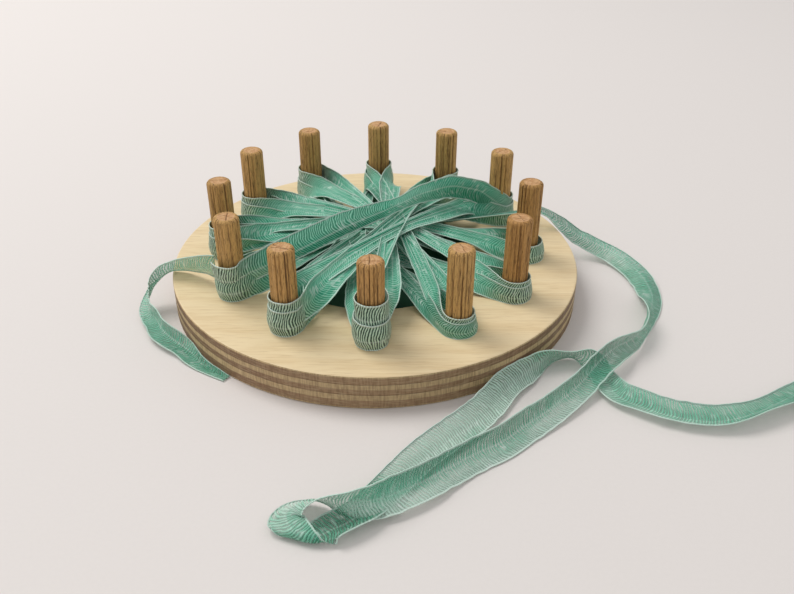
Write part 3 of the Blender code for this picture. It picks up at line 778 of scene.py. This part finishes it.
def free_end(name, points, first_pleat, nodes, seed, bend=None):
    """One free end: a loose strip along its course, with pleats where it starts."""
    run, length = even_run(smooth_course(points))
    fold, width, pale, painted_side_light = run[:, 6:].T
    pleat = first_pleat * (1 - np.clip(np.arange(len(run)) * RING_SPACING / OPENING_RUN, 0.0, 1.0))
    opened_out = np.full(len(run), LOOSE_OPEN)
    run = np.column_stack([run[:, :6], width, pleat, pale, fold, opened_out, painted_side_light])
    piece = ribbon_strip(name, run, LOOSE_YARN, seed, on_floor=True, bend=bend)
    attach(piece, BODY)
    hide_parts(*nodes)
    path = np.concatenate([run[:-PATH_STEP // 2:PATH_STEP, :3], run[-1:, :3]])
    path = (bend(path) if bend else path).tolist()
    print(name, "length", round(length, 3), "m")


right_points = [
    (*START_JOINT, 20, 40, 0.0, 0.0, GATHERED_WIDTH, 0.30, 0.0),
    *TO_THE_FOLD,
    *unfolded([*FROM_THE_FOLD, (*COIL_ENTRY, *COIL_LOOK), *coil_course()]),
]
coiled = ("ribbon_right_tail", "ribbon_coil")
free_end("ribbon_right_end", right_points, GATHERED_PLEAT, coiled, seed=11.0, bend=folded)
left_points = [(*END_JOINT, 90, 12, 0.0, 0.0, 0.0088, 0.64, 0.0), *LEFT_TAIL]
free_end("ribbon_left_end", left_points, 0.0, ("ribbon_left_tail",), seed=23.0)

# %% [markdown]
# ## Winding the ribbon
# Real winding is a rule: go nearly opposite, round the outside of that peg clockwise, and back to the next.
# Each pass is pulled straight from peg to peg, but it can't sink into the passes under it, so it is lifted
# just clear of them and drawn taut again. Near a peg the strip stands on edge, over the hole it lies flat
# and is gathered. Simulating three metres of ribbon would take hours, and this rule lays it in a second.

# %% Sizes of the winding
BOARD_TOP = 0.0115
PEG_COUNT = 12
PEG_CIRCLE = 0.0525
PEG_RADIUS = 0.0041
WRAP_RADIUS = 0.0046
ROUND_COUNT = 2
FIRST_WRAPPED = 9
PASSED_PEG = 4
START_OFF_PEG = 0.00375
START_FROM_MIDDLE = 0.0634
START_LOOK = (0.0070, 90, 0.0, GATHERED_WIDTH, 0.3)
START_CUP = 40.0
HUB_WIDTH = 0.0044
HUB_REACH = 0.008
WIDE_AT_PEG = 0.006
TWIST_RUN = 0.020
LAYER = 0.00024
LAYER_GAP = 0.00012
LAST_WRAP_TURN = math.radians(102)
WRAP_CUPS = (12.0, -3.0)
# For each peg from peg 1 on, its lower and its upper wrap: height of its middle, lean, how far it stands off
# the peg, width, and how little dye it took
WRAPS = (
    ((0.0046, 85, 0.0014, 0.0090, 0.56), (0.0112, 90, 0.0004, 0.0088, 0.50)),
    ((0.0025, 96, 0.0014, 0.0050, 0.06), (0.0040, 92, 0.0004, 0.0048, 0.46)),
    ((0.0029, 92, 0.0014, 0.0058, 0.54), (0.0048, 92, 0.0005, 0.0052, 0.46)),
    ((0.0032, 96, 0.0020, 0.0064, 0.40), (0.0090, 90, 0.0004, 0.0084, 0.52)),
    ((0.0043, 86, 0.0014, 0.0084, 0.34), (0.0070, 91, 0.0004, 0.0084, 0.26)),
    ((0.0044, 86, 0.0014, 0.0088, 0.66), (0.0078, 91, 0.0004, 0.0088, 0.50)),
    ((0.0044, 86, 0.0014, 0.0088, 0.14), (0.0078, 91, 0.0004, 0.0086, 0.32)),
    ((0.0044, 86, 0.0014, 0.0088, 0.62), (0.0086, 91, 0.0004, 0.0088, 0.56)),
    ((0.0044, 86, 0.0014, 0.0086, 0.44), (0.0070, 91, 0.0004, 0.0084, 0.48)),
    ((0.0044, 86, 0.0014, 0.0088, 0.52), (0.0076, 91, 0.0004, 0.0088, 0.44)),
    ((0.0044, 86, 0.0013, 0.0088, 0.44), (0.0088, 86, 0.0012, 0.0088, 0.64)),
    ((0.0044, 87, 0.0013, 0.0088, 0.52), (0.0074, 91, 0.0004, 0.0088, 0.54)),
)
MIDDLE, TIP, STAND_OFF, BAND, DYED = range(5)


def peg_place(index):
    """The middle of a peg. Peg 0 is nearest to the viewer, and the others follow anticlockwise."""
    return PEG_CIRCLE * toward(math.radians(360.0 * (index % PEG_COUNT) / PEG_COUNT - 90.0))


def winding_order():
    """The pegs in the order in which the ribbon goes round them: nearly opposite each time."""
    order = [FIRST_WRAPPED]
    while len(order) < ROUND_COUNT * PEG_COUNT - 1:
        order.append((order[-1] + PEG_COUNT // 2 - len(order) % 2) % PEG_COUNT)
    return order


def start_chord():
    """Where the ribbon starts near the rim, and where it first touches the first wrapped peg."""
    first = peg_place(FIRST_WRAPPED)
    across = first - peg_place(PASSED_PEG)
    beside = PEG_RADIUS + START_OFF_PEG
    turned = math.atan2(across[1], across[0]) + math.acos((beside - WRAP_RADIUS) / np.linalg.norm(across))
    left = toward(turned)
    touch = first + WRAP_RADIUS * left
    offset = float(touch @ left)
    return offset * left + math.sqrt(START_FROM_MIDDLE**2 - offset**2) * left_of(left), touch


print("round the pegs:", *winding_order())

# %% Lay one pass on the pile
CHORD_STEPS = 24
TESTS_PER_STEP = 6
PASS_ROWS = 70
PRESSED_SHARE = 0.25
FREE_STEPS = 2
NOTHING_UNDER = -1.0
MOST_TRIES = 400
CLEAR_ENOUGH = 1e-6


def flat_share(along, length, from_peg):
    """0 where the ribbon stands on edge at a peg, 1 where it lies flat over the hole."""
    from_start = along if from_peg else np.full_like(along, TWIST_RUN)
    share = np.clip(np.minimum(from_start, length - along) / TWIST_RUN, 0.0, 1.0)
    return share * share * (3.0 - 2.0 * share)


def gathered_share(along, length):
    """1 where the pass crosses the hub, falling evenly to 0 at the pegs."""
    from_middle = np.abs(along - length / 2)
    return 1.0 - np.clip((from_middle - HUB_REACH) / (length / 2 - HUB_REACH - WIDE_AT_PEG), 0.0, 1.0)


def width_at(along, length, widths):
    """Full width at both pegs, gathered between them."""
    share = gathered_share(along, length) ** 2
    return np.interp(along, (0.0, length), widths) * (1 - share) + HUB_WIDTH * share


def taut(places, heights):
    """The taut line over a row of heights: it never sags between two that carry it."""
    kept = []
    for place, height in zip(places, heights):
        while len(kept) >= 2:
            (x1, z1), (x2, z2) = kept[-2:]
            if (z2 - z1) * (place - x1) > (height - z1) * (x2 - x1):
                break
            kept.pop()
        kept.append((place, height))
    return np.interp(places, *zip(*kept))


def lay_pass(start, end, heights, widths, from_peg, pile):
    """One straight pass, lifted clear of all that was laid before: its length, and its height along it."""
    length = np.linalg.norm(end - start)
    stations = np.linspace(0.0, length, CHORD_STEPS + 1)
    along = np.linspace(0.0, length, CHORD_STEPS * TESTS_PER_STEP + 1)
    plan = start + np.outer(along / length, end - start)
    turn = flat_share(along, length, from_peg) * math.pi / 2
    half = np.minimum(width_at(along, length, widths), HUB_WIDTH) / 2
    tall = half * np.cos(turn) * PRESSED_SHARE + LAYER / 2
    broad = half * np.sin(turn) + LAYER / 2
    needed = np.full(len(along), NOTHING_UNDER)
    for other_plan, other_height, other_tall, other_broad in pile:
        apart = np.linalg.norm(plan[:, None] - other_plan[None], axis=2)
        over = apart < broad[:, None] + other_broad[None]
        clear = (other_height + other_tall)[None] + tall[:, None] + LAYER_GAP
        needed = np.maximum(needed, np.where(over, clear, NOTHING_UNDER).max(axis=1))
    needed[:TESTS_PER_STEP * FREE_STEPS] = NOTHING_UNDER
    needed[-TESTS_PER_STEP * FREE_STEPS:] = NOTHING_UNDER
    levels = np.interp(stations, [0.0, length], heights)
    for _ in range(MOST_TRIES):
        levels = taut(stations, levels)
        short = needed - np.interp(along, stations, levels)
        worst = int(short.argmax())
        if short[worst] < CLEAR_ENOUGH:
            break
        before = min(worst // TESTS_PER_STEP, CHORD_STEPS - 1)
        for station in (before, before + 1):
            if 0 < station < CHORD_STEPS:
                levels[station] += short[worst]
    pile.append((plan, np.interp(along, stations, levels), tall, broad))
    along = np.linspace(0.0, length, PASS_ROWS)
    return length, along, np.interp(along, stations, levels)


print("taut over a post of height 3:", *taut((0, 1, 2, 3), (0, 3, 0, 0)))

# %% The passes and the wraps
WRAP_ROWS = 18
rng = np.random.default_rng(7)
LEG_PALE = -0.08
ONTO_PEG = 0.009
WANDER = 0.0007
HUB_CUP = 16.0
LEG_CREASE = 0.25
LEAST_OPEN = 0.25
OPEN_BY_PALE = 1.5
TRIMMED = 2
HUB_TILTS = (6, 34)
TURNED_OVER_BELOW = 0.35
WRAP_CREASE = 0.7
WRAP_FOLD = -0.2
# The last pass is loose. Along it: the place from 0 to 1, lean, width, cup, where its fold runs, lift over
# the taut line, swing away from the viewer, and how pale
LAST_PASS = (
    (0.00, 90, 0.0088, 10, 0.0, 0.0, 0.0, 0.22),
    (0.10, 90, 0.0088, 20, 0.2, 0.0060, 0.0032, 0.32),
    (0.20, 92, 0.0090, 26, 0.2, 0.0074, 0.0054, 0.44),
    (0.30, 108, 0.0068, 22, 0.1, 0.0058, 0.0060, 0.62),
    (0.40, 122, 0.0042, 14, 0.0, 0.0038, 0.0056, 0.64),
    (0.48, 130, 0.0064, 24, -0.3, 0.0036, 0.0050, 0.20),
    (0.62, 128, 0.0090, 34, -0.4, 0.0040, 0.0040, 0.08),
    (0.80, 122, 0.0090, 34, -0.4, 0.0026, 0.0022, 0.22),
    (0.92, 102, 0.0088, 24, -0.2, 0.0008, 0.0007, 0.44),
    (1.00, 90, 0.0088, 14, 0.0, 0.0, 0.0, 0.60),
)
# Where its threads stand apart, and the painted side light, how much paler one side of its fold is painted:
# places and what holds there
LAST_PASS_OPEN = ((0.0, 0.08, 0.88, 1.0), (0.6, 0.0, 0.0, 0.8))
LAST_PASS_SIDE_LIGHT = ((0.0, 0.36, 0.5, 1.0), (0.1, 0.0, -0.2, -0.2))
LAST_PASS_CREASE = 0.8


def openness(pale):
    """How clearly the threads of a wrap stand apart: least where the yarn took much dye."""
    return np.minimum(1.0, LEAST_OPEN + OPEN_BY_PALE * pale)


def pass_rows(start, end, looks, cups, from_peg, pile):
    """One pass across the hole, from one wrap's look to the next one's."""
    heights, leans, bulges, widths, pales = np.array(looks).T
    length, along, levels = lay_pass(start, end, heights, widths, from_peg, pile)
    way = (end - start) / length
    share = flat_share(along, length, from_peg)
    near_start = along < length / 2
    bulge = np.where(near_start, bulges[0], bulges[1]) * (1 - share) ** 2
    turned_over = -1.0 if way[0] < TURNED_OVER_BELOW and from_peg else 1.0
    cup = np.where(near_start, cups[0], cups[1]) * (1 - share) + HUB_CUP * turned_over * share
    wander = rng.uniform(-WANDER, WANDER) * np.sin(math.pi * along / length)
    plan = start + np.outer(along, way) + np.outer(bulge + wander, left_of(way))
    gathered = gathered_share(along, length)
    tilt = rng.uniform(*HUB_TILTS) * np.sin(math.pi * along / length) ** 0.5
    on_edge = np.where(near_start, leans[0], leans[1])
    flat = 90.0 - turned_over * (90.0 - tilt)
    lean = on_edge * (1 - share) + flat * share
    crease = LEG_CREASE + (1 - LEG_CREASE) * gathered * rng.uniform(0.5, 1.0)
    width = width_at(along, length, widths)
    pale = np.interp(along, (0.0, length), pales) + LEG_PALE * gathered
    opened_out = openness(pale) * (1.0 - np.clip(np.minimum(along, length - along) / ONTO_PEG, 0.0, 1.0))
    zero = np.zeros(PASS_ROWS)
    looks = (lean, cup, crease, width, HUB_PLEAT * gathered, pale, zero, opened_out, zero)
    return np.column_stack([plan, BOARD_TOP + levels, *looks])[TRIMMED:-TRIMMED if from_peg else None]


def last_pass_rows(start, end, looks, pile):
    """The loose last pass: it stands up as an arch, narrows and leans back over all the others."""
    heights, _, _, widths, _ = np.array(looks).T
    length, along, levels = lay_pass(start, end, heights, widths, True, pile)
    share = along / length
    places, *stops = np.array(LAST_PASS).T
    lean, width, cup, fold, lift, swing, pale = (np.interp(share, places, stop) for stop in stops)
    plan = start + np.outer(share, end - start) - np.outer(swing, left_of(end - start) / length)
    zero = np.zeros(PASS_ROWS)
    opened_out = np.interp(share, *LAST_PASS_OPEN)
    painted_side_light = np.interp(share, *LAST_PASS_SIDE_LIGHT)
    looks = (lean, cup, zero + LAST_PASS_CREASE, width, zero, pale, fold, opened_out, painted_side_light)
    return np.column_stack([plan, BOARD_TOP + levels + lift, *looks])[TRIMMED:-TRIMMED]


def wrap_rows(centre, look, cup, start_angle, turn):
    """One wrap, clockwise seen from above, on edge all the way round the peg."""
    rows = []
    pale = look[DYED]
    height = BOARD_TOP + look[MIDDLE]
    beside = (height, look[TIP], cup, WRAP_CREASE, look[BAND], 0.0, pale, WRAP_FOLD, openness(pale), 0.0)
    for step in range(WRAP_ROWS + 1):
        place = centre + (WRAP_RADIUS + look[STAND_OFF]) * toward(start_angle - turn * step / WRAP_ROWS)
        rows.append((*place, *beside))
    return np.array(rows)


print("threads stand apart by", openness(0.1), "where deeply dyed,", openness(0.5), "where pale")

# %% The whole winding
WINDING_EASE = 5


def wind():
    """The rows of the whole winding, wrap by wrap and pass by pass."""
    order = winding_order()
    visits = [order[:place].count(peg) for place, peg in enumerate(order)]
    looks = [WRAPS[peg][visit] for peg, visit in zip(order, visits)]
    cups = [WRAP_CUPS[visit] for visit in visits]
    start, touch = start_chord()
    pile = []
    rows = [pass_rows(start, touch, (START_LOOK, looks[0]), (START_CUP, cups[0]), False, pile)]
    arrival = touch - start
    for place, peg in enumerate(order):
        centre = peg_place(peg)
        reached = left_of(arrival)
        start_angle = math.atan2(reached[1], reached[0])
        wrap = (centre, looks[place], cups[place], start_angle)
        if place == len(order) - 1:
            rows.append(wrap_rows(*wrap, LAST_WRAP_TURN))
            break
        onward = peg_place(order[place + 1]) - centre
        leaving = left_of(onward) / np.linalg.norm(onward)
        rows.append(wrap_rows(*wrap, (start_angle - math.atan2(leaving[1], leaving[0])) % FULL_TURN))
        offset = WRAP_RADIUS * leaving
        tangents = (centre + offset, centre + onward + offset)
        two_looks = looks[place:place + 2]
        if place == len(order) - 2:
            rows.append(last_pass_rows(*tangents, two_looks, pile))
        else:
            rows.append(pass_rows(*tangents, two_looks, cups[place:place + 2], True, pile))
        arrival = onward
    top = max(levels.max() for _, levels, _, _ in pile)
    print("pile", round(top * 1000, 1), "mm above the board")
    return np.concatenate(rows)


run, wound_length = even_run(wind())
winding = ribbon_strip("ribbon_on_pegs", smoothed(run, WINDING_EASE), WOUND_YARN, seed=3.0)
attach(winding, BODY)
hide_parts("ribbon_winding")
print("wound length", round(wound_length, 3), "m")

# %% [markdown]
# ## Grain
# Wood is built of fibres, so everything on it is stretched one way: pale and dark streaks, and short dark
# pores. The board and the dowels are different woods, but both show this, so one group makes the streaks
# and pores from a place that the material stretches along its own fibres.

# %% Group: wood grain
def grain_group():
    """Streaks and pores along the fibres, and the height of the surface."""
    inputs = {"Place": None, "Pores": 0.5}
    given, result, group = new_group("wood grain", inputs, ("Streak", "Pore", "Height"))
    place = given["Place"]
    streak = cloudy(place, 5.5, 2.0, 0.6).scaled(0.45, cloudy(place, 1.0, 4.0, 0.55) * 0.55)
    pore = ramp(cloudy(place, 11.0, 1.0), 0.60, 0.70) * given["Pores"]
    fill(result, Streak=streak, Pore=pore, Height=streak - pore)
    return group


GRAIN = grain_group()
print(GRAIN.name, "has", len(GRAIN.nodes), "nodes")

# %% [markdown]
# ## The board
# Seven plies of birch are glued crosswise. The two faces are thin and pale, sanded smooth and left bare. On
# the edge the plies show as bands: brown where the fibres are cut across, tan where they run along. Fibres
# of neighbouring plies cross, so the bands stand out most at the board's left and right. The saw left fine
# upright marks on the edge. The solid's shape is right, so it stays, and a material reads the ply from the
# height.

# %% Plywood material
PLY_TOPS = (0.0006, 0.0030, 0.0050, 0.0069, 0.0087, 0.0109)
GLUE_LINES_OVER = (2, 4)
PLY_WAVE = 0.0006
PLY_BLUR = 0.00012
FACE_WOOD = srgb(230, 209, 169)
FACE_STREAK = srgb(210, 182, 136)
DARK_PLY = srgb(150, 118, 90)
TAN_PLY = srgb(186, 160, 120)
GLUE_LINE = srgb(104, 78, 54)
# Painted green shade on the hole's wall and on the floor under the hole
HOLE_SHADE = srgb(58, 102, 78)
HOLE_RADIUS = 0.035


def radius_at(place):
    """How far a place is from the loom's axis."""
    x, y, _ = split(place)
    return (x * x + y * y).maths("SQRT")


def ply_bands(height):
    """Where the dark plies and the glue lines are, from the height over the board's underside."""
    dark, glue = 0.0, 0.0
    for number, top in enumerate(PLY_TOPS):
        dark = ramp(height, top - PLY_BLUR, top + PLY_BLUR).scaled(1.0 if number % 2 == 0 else -1.0, dark)
        if number in GLUE_LINES_OVER:
            glue = ramp(abs(height - top), 0.00022, 0.00005) + glue
    return dark, glue


def plywood():
    """Pale sanded faces, the edge's bands of plies with the marks of the saw, and painted green shade on the
    wall of the hole.
    """
    material, tree, shader = new_material("birch_plywood")
    place = place_of(tree)
    x, _, z = split(place)
    grain = use_group(tree, GRAIN, Place=place_of(tree, (16.0, 210.0, 160.0)), Pores=0.25)
    face = mixed(ramp(grain["Streak"], 0.38, 0.66, 0.0, 0.55), FACE_WOOD, FACE_STREAK)
    face = mixed(grain["Pore"] * 0.5, face, DARK_PLY)
    radius = radius_at(place)
    sideness = abs(x / radius)
    dark, glue = ply_bands((cloudy(place_of(tree, (30.0, 30.0, 5.0))) - 0.5).scaled(PLY_WAVE, z))
    saw = cloudy(place_of(tree, (1900.0, 1900.0, 260.0)), detail=2.0)
    cross = cloudy(place_of(tree, (300.0, 300.0, 2600.0)), detail=1.0)
    tan = mixed(sideness, TAN_PLY, FACE_STREAK)
    dull = mixed(sideness * 0.5, DARK_PLY, GLUE_LINE)
    bands = mixed(dark * ramp(sideness, 0.0, 0.8, 0.72, 1.0), tan, dull)
    bands = mixed(glue * 0.75, bands, GLUE_LINE)
    bands = mixed(ramp(saw, 0.35, 0.68, 0.0, 0.42), bands, GLUE_LINE)
    bands = mixed(ramp(cross, 0.45, 0.7, 0.0, 0.16), bands, FACE_WOOD)
    # Painted green shade on the wall of the hole
    bands = mixed(ramp(radius, HOLE_RADIUS + 0.001, HOLE_RADIUS + 0.0005), bands, HOLE_SHADE)
    _, _, upward = split(Wire(new_node(tree, "NewGeometry").outputs["Normal"]))
    flat = ramp(abs(upward), 0.55, 0.85)
    fill(
        shader,
        Base_Color=mixed(flat, bands, face),
        Roughness=ramp(grain["Streak"], 0.3, 0.7, 0.52, 0.66),
        Normal=bumped(saw.scaled(1 - flat, grain["Height"] * 0.35), 0.5, 0.0002),
        Specular_IOR_Level=0.3,
    )
    return material


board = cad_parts["base_ring"].data
board.materials.clear()
board.materials.append(plywood())
print("board:", len(PLY_TOPS) + 1, "plies")

# %% [markdown]
# ## The dowels
# Each dowel is stock fluted rod, sawn off, rounded at its upper edge and glued in. The flutes are pressed,
# so they are uneven: some deep, with painted shade in them, some nearly closed. The saw cut shows pale end
# grain, with a crack or two in painted shade. No two dowels are alike, in colour either, so a function turns
# each one from its own seed. The profile is easy as a grid of rings: the radius at each angle is the rod's,
# less its flutes.

# %% Dowel sizes
DOWEL_FOOT = 0.0003
DOWEL_TOP = 0.0398
DOWEL_SIDES = 96
DOWEL_RISES = 30
TOP_INSET = 0.0012
TOP_DROP = 0.0014
TOP_ARC_STEPS = 5
END_RINGS = (0.0026, 0.0021, 0.0016, 0.0011, 0.0006, 0.0002)
END_SUNK = 0.00012
END_ROUGHNESS = 0.00006
FLUTES = 19
FLUTE_SHIFT = 0.22
FLUTE_HALF_WIDTHS = (0.04, 0.10)
FLUTE_DEPTHS = (0.00012, 0.00046)
RIB_SUNK = 0.00005
FIBRE_SHARE = 0.25
FIBRES_AROUND = 5
FIBRES_UP = 90
SEEDS_APART = 7
CRACK_DEPTH = 0.00035
CRACK_HALF_WIDTH = 0.00022
CRACK_WANDER = 0.0002
CRACK_DISTANCE = 0.0007
CRACK_WAVES = 900
END_GRAIN_SCALE = 1500
GROOVE_FULL = 0.00050
SMOOTH_BELOW = math.radians(50)
# For each dowel from peg 1 on: how red, how light, and the angles of the cracks in its end, in degrees
DOWEL_LOOKS = (
    (0.95, 0.72, (5, 95)), (0.50, 0.90, (60,)), (0.85, 0.55, (20, 80)), (0.60, 0.45, (10,)),
    (0.25, 0.70, (35,)), (0.20, 0.65, (110,)), (0.10, 0.90, (150,)), (0.35, 0.55, (70,)),
    (0.50, 0.85, ()), (0.50, 0.55, (130,)), (0.45, 0.90, (50, 160)), (0.75, 0.75, (0, 12)),
)
print("dowels:", FLUTES, "flutes,", round((DOWEL_TOP - DOWEL_FOOT) * 1000, 1), "mm long")

# %% Dowel meshes
def flute_depths(angles, seed):
    """How deep the pressed flutes cut at each angle round the dowel."""
    dice = np.random.default_rng(seed)
    depths = np.zeros(len(angles))
    for number in range(FLUTES):
        centre = FULL_TURN * (number + dice.uniform(-FLUTE_SHIFT, FLUTE_SHIFT)) / FLUTES
        half_width = dice.uniform(*FLUTE_HALF_WIDTHS)
        depth = dice.uniform(*FLUTE_DEPTHS)
        off = np.abs((angles - centre + math.pi) % FULL_TURN - math.pi)
        depths = np.maximum(depths, depth * np.clip(1 - off / half_width, 0, 1) ** 0.8)
    return depths


def side_rings(angles, flutes, seed):
    """Radius at every angle, and height, from the foot up the side and over the rounded edge."""
    for rise in range(DOWEL_RISES + 1):
        height = DOWEL_FOOT + (DOWEL_TOP - TOP_DROP - DOWEL_FOOT) * rise / DOWEL_RISES
        level = height * FIBRES_UP + seed * SEEDS_APART
        around = [(math.cos(a) * FIBRES_AROUND, math.sin(a) * FIBRES_AROUND) for a in angles]
        fibre = np.array([noise.noise(Vector((x, y, level))) for x, y in around])
        yield PEG_RADIUS - RIB_SUNK - flutes * (1 + FIBRE_SHARE * fibre), height
    for step in range(1, TOP_ARC_STEPS + 1):
        turn = math.pi / 2 * step / TOP_ARC_STEPS
        radius = PEG_RADIUS - TOP_INSET * (1 - math.cos(turn)) - flutes * (1 - step / TOP_ARC_STEPS) ** 0.5
        yield radius, DOWEL_TOP - TOP_DROP * (1 - math.sin(turn))


def crack_share(x, y, cracks):
    """How deep the end's cracks are at a point of the sawn face, from 0 to 1."""
    deep = 0.0
    for place, degrees in enumerate(cracks):
        across = left_of(toward(math.radians(degrees))) @ (x, y)
        bend = CRACK_WANDER * math.sin(CRACK_WAVES * (x + y) + place)
        off = abs(across + bend - CRACK_DISTANCE * (place - 0.5))
        deep = max(deep, 1 - off / CRACK_HALF_WIDTH)
    return deep


def dowel_mesh(number):
    """One dowel with its own flutes and cracks, and the numbers that its material reads."""
    red, light, cracks = DOWEL_LOOKS[number]
    seed = number + 1
    angles = FULL_TURN * np.arange(DOWEL_SIDES) / DOWEL_SIDES
    flutes = flute_depths(angles, seed)
    points, grooves = [], []
    for radius, height in side_rings(angles, flutes, seed):
        points += [(r * math.cos(a), r * math.sin(a), height) for r, a in zip(radius, angles)]
        grooves += (flutes / GROOVE_FULL).tolist()
    side_count = len(points)
    for ring in END_RINGS:
        for a in angles:
            x, y = ring * math.cos(a), ring * math.sin(a)
            rough = noise.noise(Vector((x * END_GRAIN_SCALE, y * END_GRAIN_SCALE, seed)))
            grooves.append(crack_share(x, y, cracks))
            sunk = END_SUNK - END_ROUGHNESS * rough + CRACK_DEPTH * grooves[-1]
            points.append((x, y, DOWEL_TOP - sunk))
    mesh = ring_mesh(f"dowel_{seed:02d}", points, len(points) // DOWEL_SIDES)
    mesh.set_sharp_from_angle(angle=SMOOTH_BELOW)
    write_value(mesh, "end_grain", np.arange(len(points)) >= side_count)
    write_value(mesh, "groove", grooves)
    write_value(mesh, "red", np.full(len(points), red))
    write_value(mesh, "light", np.full(len(points), light))
    return mesh


first_flutes = flute_depths(np.linspace(0.0, FULL_TURN, DOWEL_SIDES), seed=1)
print("deepest flute of the first dowel:", round(1000 * first_flutes.max(), 2), "mm")

# %% Dowel material
OLIVE_WOOD = srgb(180, 150, 86)
RED_WOOD = srgb(168, 108, 54)
PALE_WOOD = srgb(212, 168, 104)
PALE_END = srgb(214, 172, 124)
# Dark streaks and pores of the wood, and painted shade in the flutes and cracks
DARK_WOOD_AND_GROOVE_SHADE = srgb(76, 48, 24)


def dowel_material():
    """Raw reddish wood, dark in its pores and streaks, with painted shade in its flutes and in the cracks of
    its paler sawn end.
    """
    material, tree, shader = new_material("fluted_dowel")
    grain = use_group(tree, GRAIN, Place=place_of(tree, (1300.0, 1300.0, 50.0)), Pores=1.0)
    groove = stored(tree, "groove")
    wood = mixed(stored(tree, "red"), OLIVE_WOOD, RED_WOOD)
    wood = mixed(ramp(stored(tree, "light"), 0.0, 1.0, 0.0, 0.8), wood, PALE_WOOD)
    wood = mixed(ramp(grain["Streak"], 0.46, 0.30, 0.0, 0.55), wood, PALE_WOOD)
    wood = mixed(ramp(grain["Streak"], 0.51, 0.62, 0.0, 0.8), wood, DARK_WOOD_AND_GROOVE_SHADE)
    wood = mixed(grain["Pore"] * 0.8, wood, DARK_WOOD_AND_GROOVE_SHADE)
    broken = ramp(cloudy(place_of(tree, (700.0, 700.0, 130.0)), detail=2.0), 0.30, 0.60, 0.35, 1.0)
    # Painted shade in the flutes, darker where a flute is deeper, broken up by noise
    wood = mixed(ramp(groove, 0.08, 0.8) * broken, wood, DARK_WOOD_AND_GROOVE_SHADE)
    rings = cloudy(place_of(tree, (1400.0, 500.0, 1.0)), detail=2.0)
    sawn = mixed(ramp(rings, 0.35, 0.65, 0.0, 0.55), PALE_END, RED_WOOD)
    # Painted shade in the cracks of the sawn end
    sawn = mixed(ramp(groove, 0.2, 0.9, 0.0, 0.9), sawn, DARK_WOOD_AND_GROOVE_SHADE)
    fill(
        shader,
        Base_Color=mixed(stored(tree, "end_grain"), wood, sawn),
        Roughness=ramp(grain["Streak"], 0.3, 0.7, 0.5, 0.68),
        Normal=bumped(grain["Height"], 0.6, 0.0003),
        Specular_IOR_Level=0.3,
    )
    return material


ROD_WOOD = dowel_material()
print(ROD_WOOD.name, "has", len(ROD_WOOD.node_tree.nodes), "nodes")

# %% Stand the dowels
DOWEL_TURN = math.radians(47.0)
for number in range(PEG_COUNT):
    mesh = dowel_mesh(number)
    mesh.materials.append(ROD_WOOD)
    dowel = stand(f"fluted_dowel_{number + 1:02d}", mesh)
    dowel.location = (*peg_place(number), 0.0)
    dowel.rotation_euler.z = DOWEL_TURN * number
    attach(dowel, BODY)
    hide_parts(f"peg_{number + 1:02d}")
print("dowels:", PEG_COUNT, "of", len(mesh.polygons), "faces each")

# %% [markdown]
# ## Floor and light
# The loom stands on a pale seamless sheet in soft daylight. A wide lamp from the upper left gives the soft
# shadows at the right of each form, and the pale world fills them.

# %% Floor, world and lamp
FLOOR_SIZE = 6.0
FLOOR_DROP = 0.0001
FLOOR_COLOUR = srgb(222, 216, 212)
FLOOR_FLECK = srgb(203, 198, 193)
SKY_COLOUR = (0.98, 0.985, 1.0, 1.0)
SKY_STRENGTH = 0.62
LAMP_COLOUR = (1.0, 0.985, 0.965)
LAMP_POWER = 15.0
LAMP_SIZE = 0.95
LAMP_PLACE = Vector((-0.75, 0.45, 1.3))


def floor():
    """A pale sheet of paper, with painted green shade in the hole, under the green yarn."""
    bpy.ops.mesh.primitive_plane_add(size=FLOOR_SIZE, location=(0, 0, -FLOOR_DROP))
    sheet = bpy.context.active_object
    sheet.name = "floor"
    material, tree, shader = new_material("seamless_sheet")
    place = place_of(tree)
    paper = mixed(ramp(cloudy(place, 900.0), 0.3, 0.7, 0.0, 0.06), FLOOR_COLOUR, FLOOR_FLECK)
    # Painted green shade on the floor under the hole
    under = ramp(radius_at(place), HOLE_RADIUS + 0.001, HOLE_RADIUS - 0.004)
    fill(shader, Base_Color=mixed(under, paper, HOLE_SHADE), Roughness=0.75, Specular_IOR_Level=0.2)
    sheet.data.materials.append(material)


def daylight():
    """A pale sky all round, and one wide soft lamp that looks at the loom."""
    world = bpy.data.worlds.new("daylight")
    world.use_nodes = True
    fill(world.node_tree.nodes["Background"], Color=SKY_COLOUR, Strength=SKY_STRENGTH)
    bpy.context.scene.world = world
    lamp = bpy.data.lights.new("window", "AREA")
    lamp.shape = "DISK"
    lamp.size = LAMP_SIZE
    lamp.energy = LAMP_POWER
    lamp.color = LAMP_COLOUR
    window = stand("window", lamp)
    window.location = LAMP_PLACE
    window.rotation_euler = (-LAMP_PLACE).to_track_quat("-Z", "Y").to_euler()


floor()
daylight()
bpy.context.scene.view_settings.view_transform = "Standard"
print("floor", FLOOR_SIZE, "m, lamp", LAMP_POWER, "W")
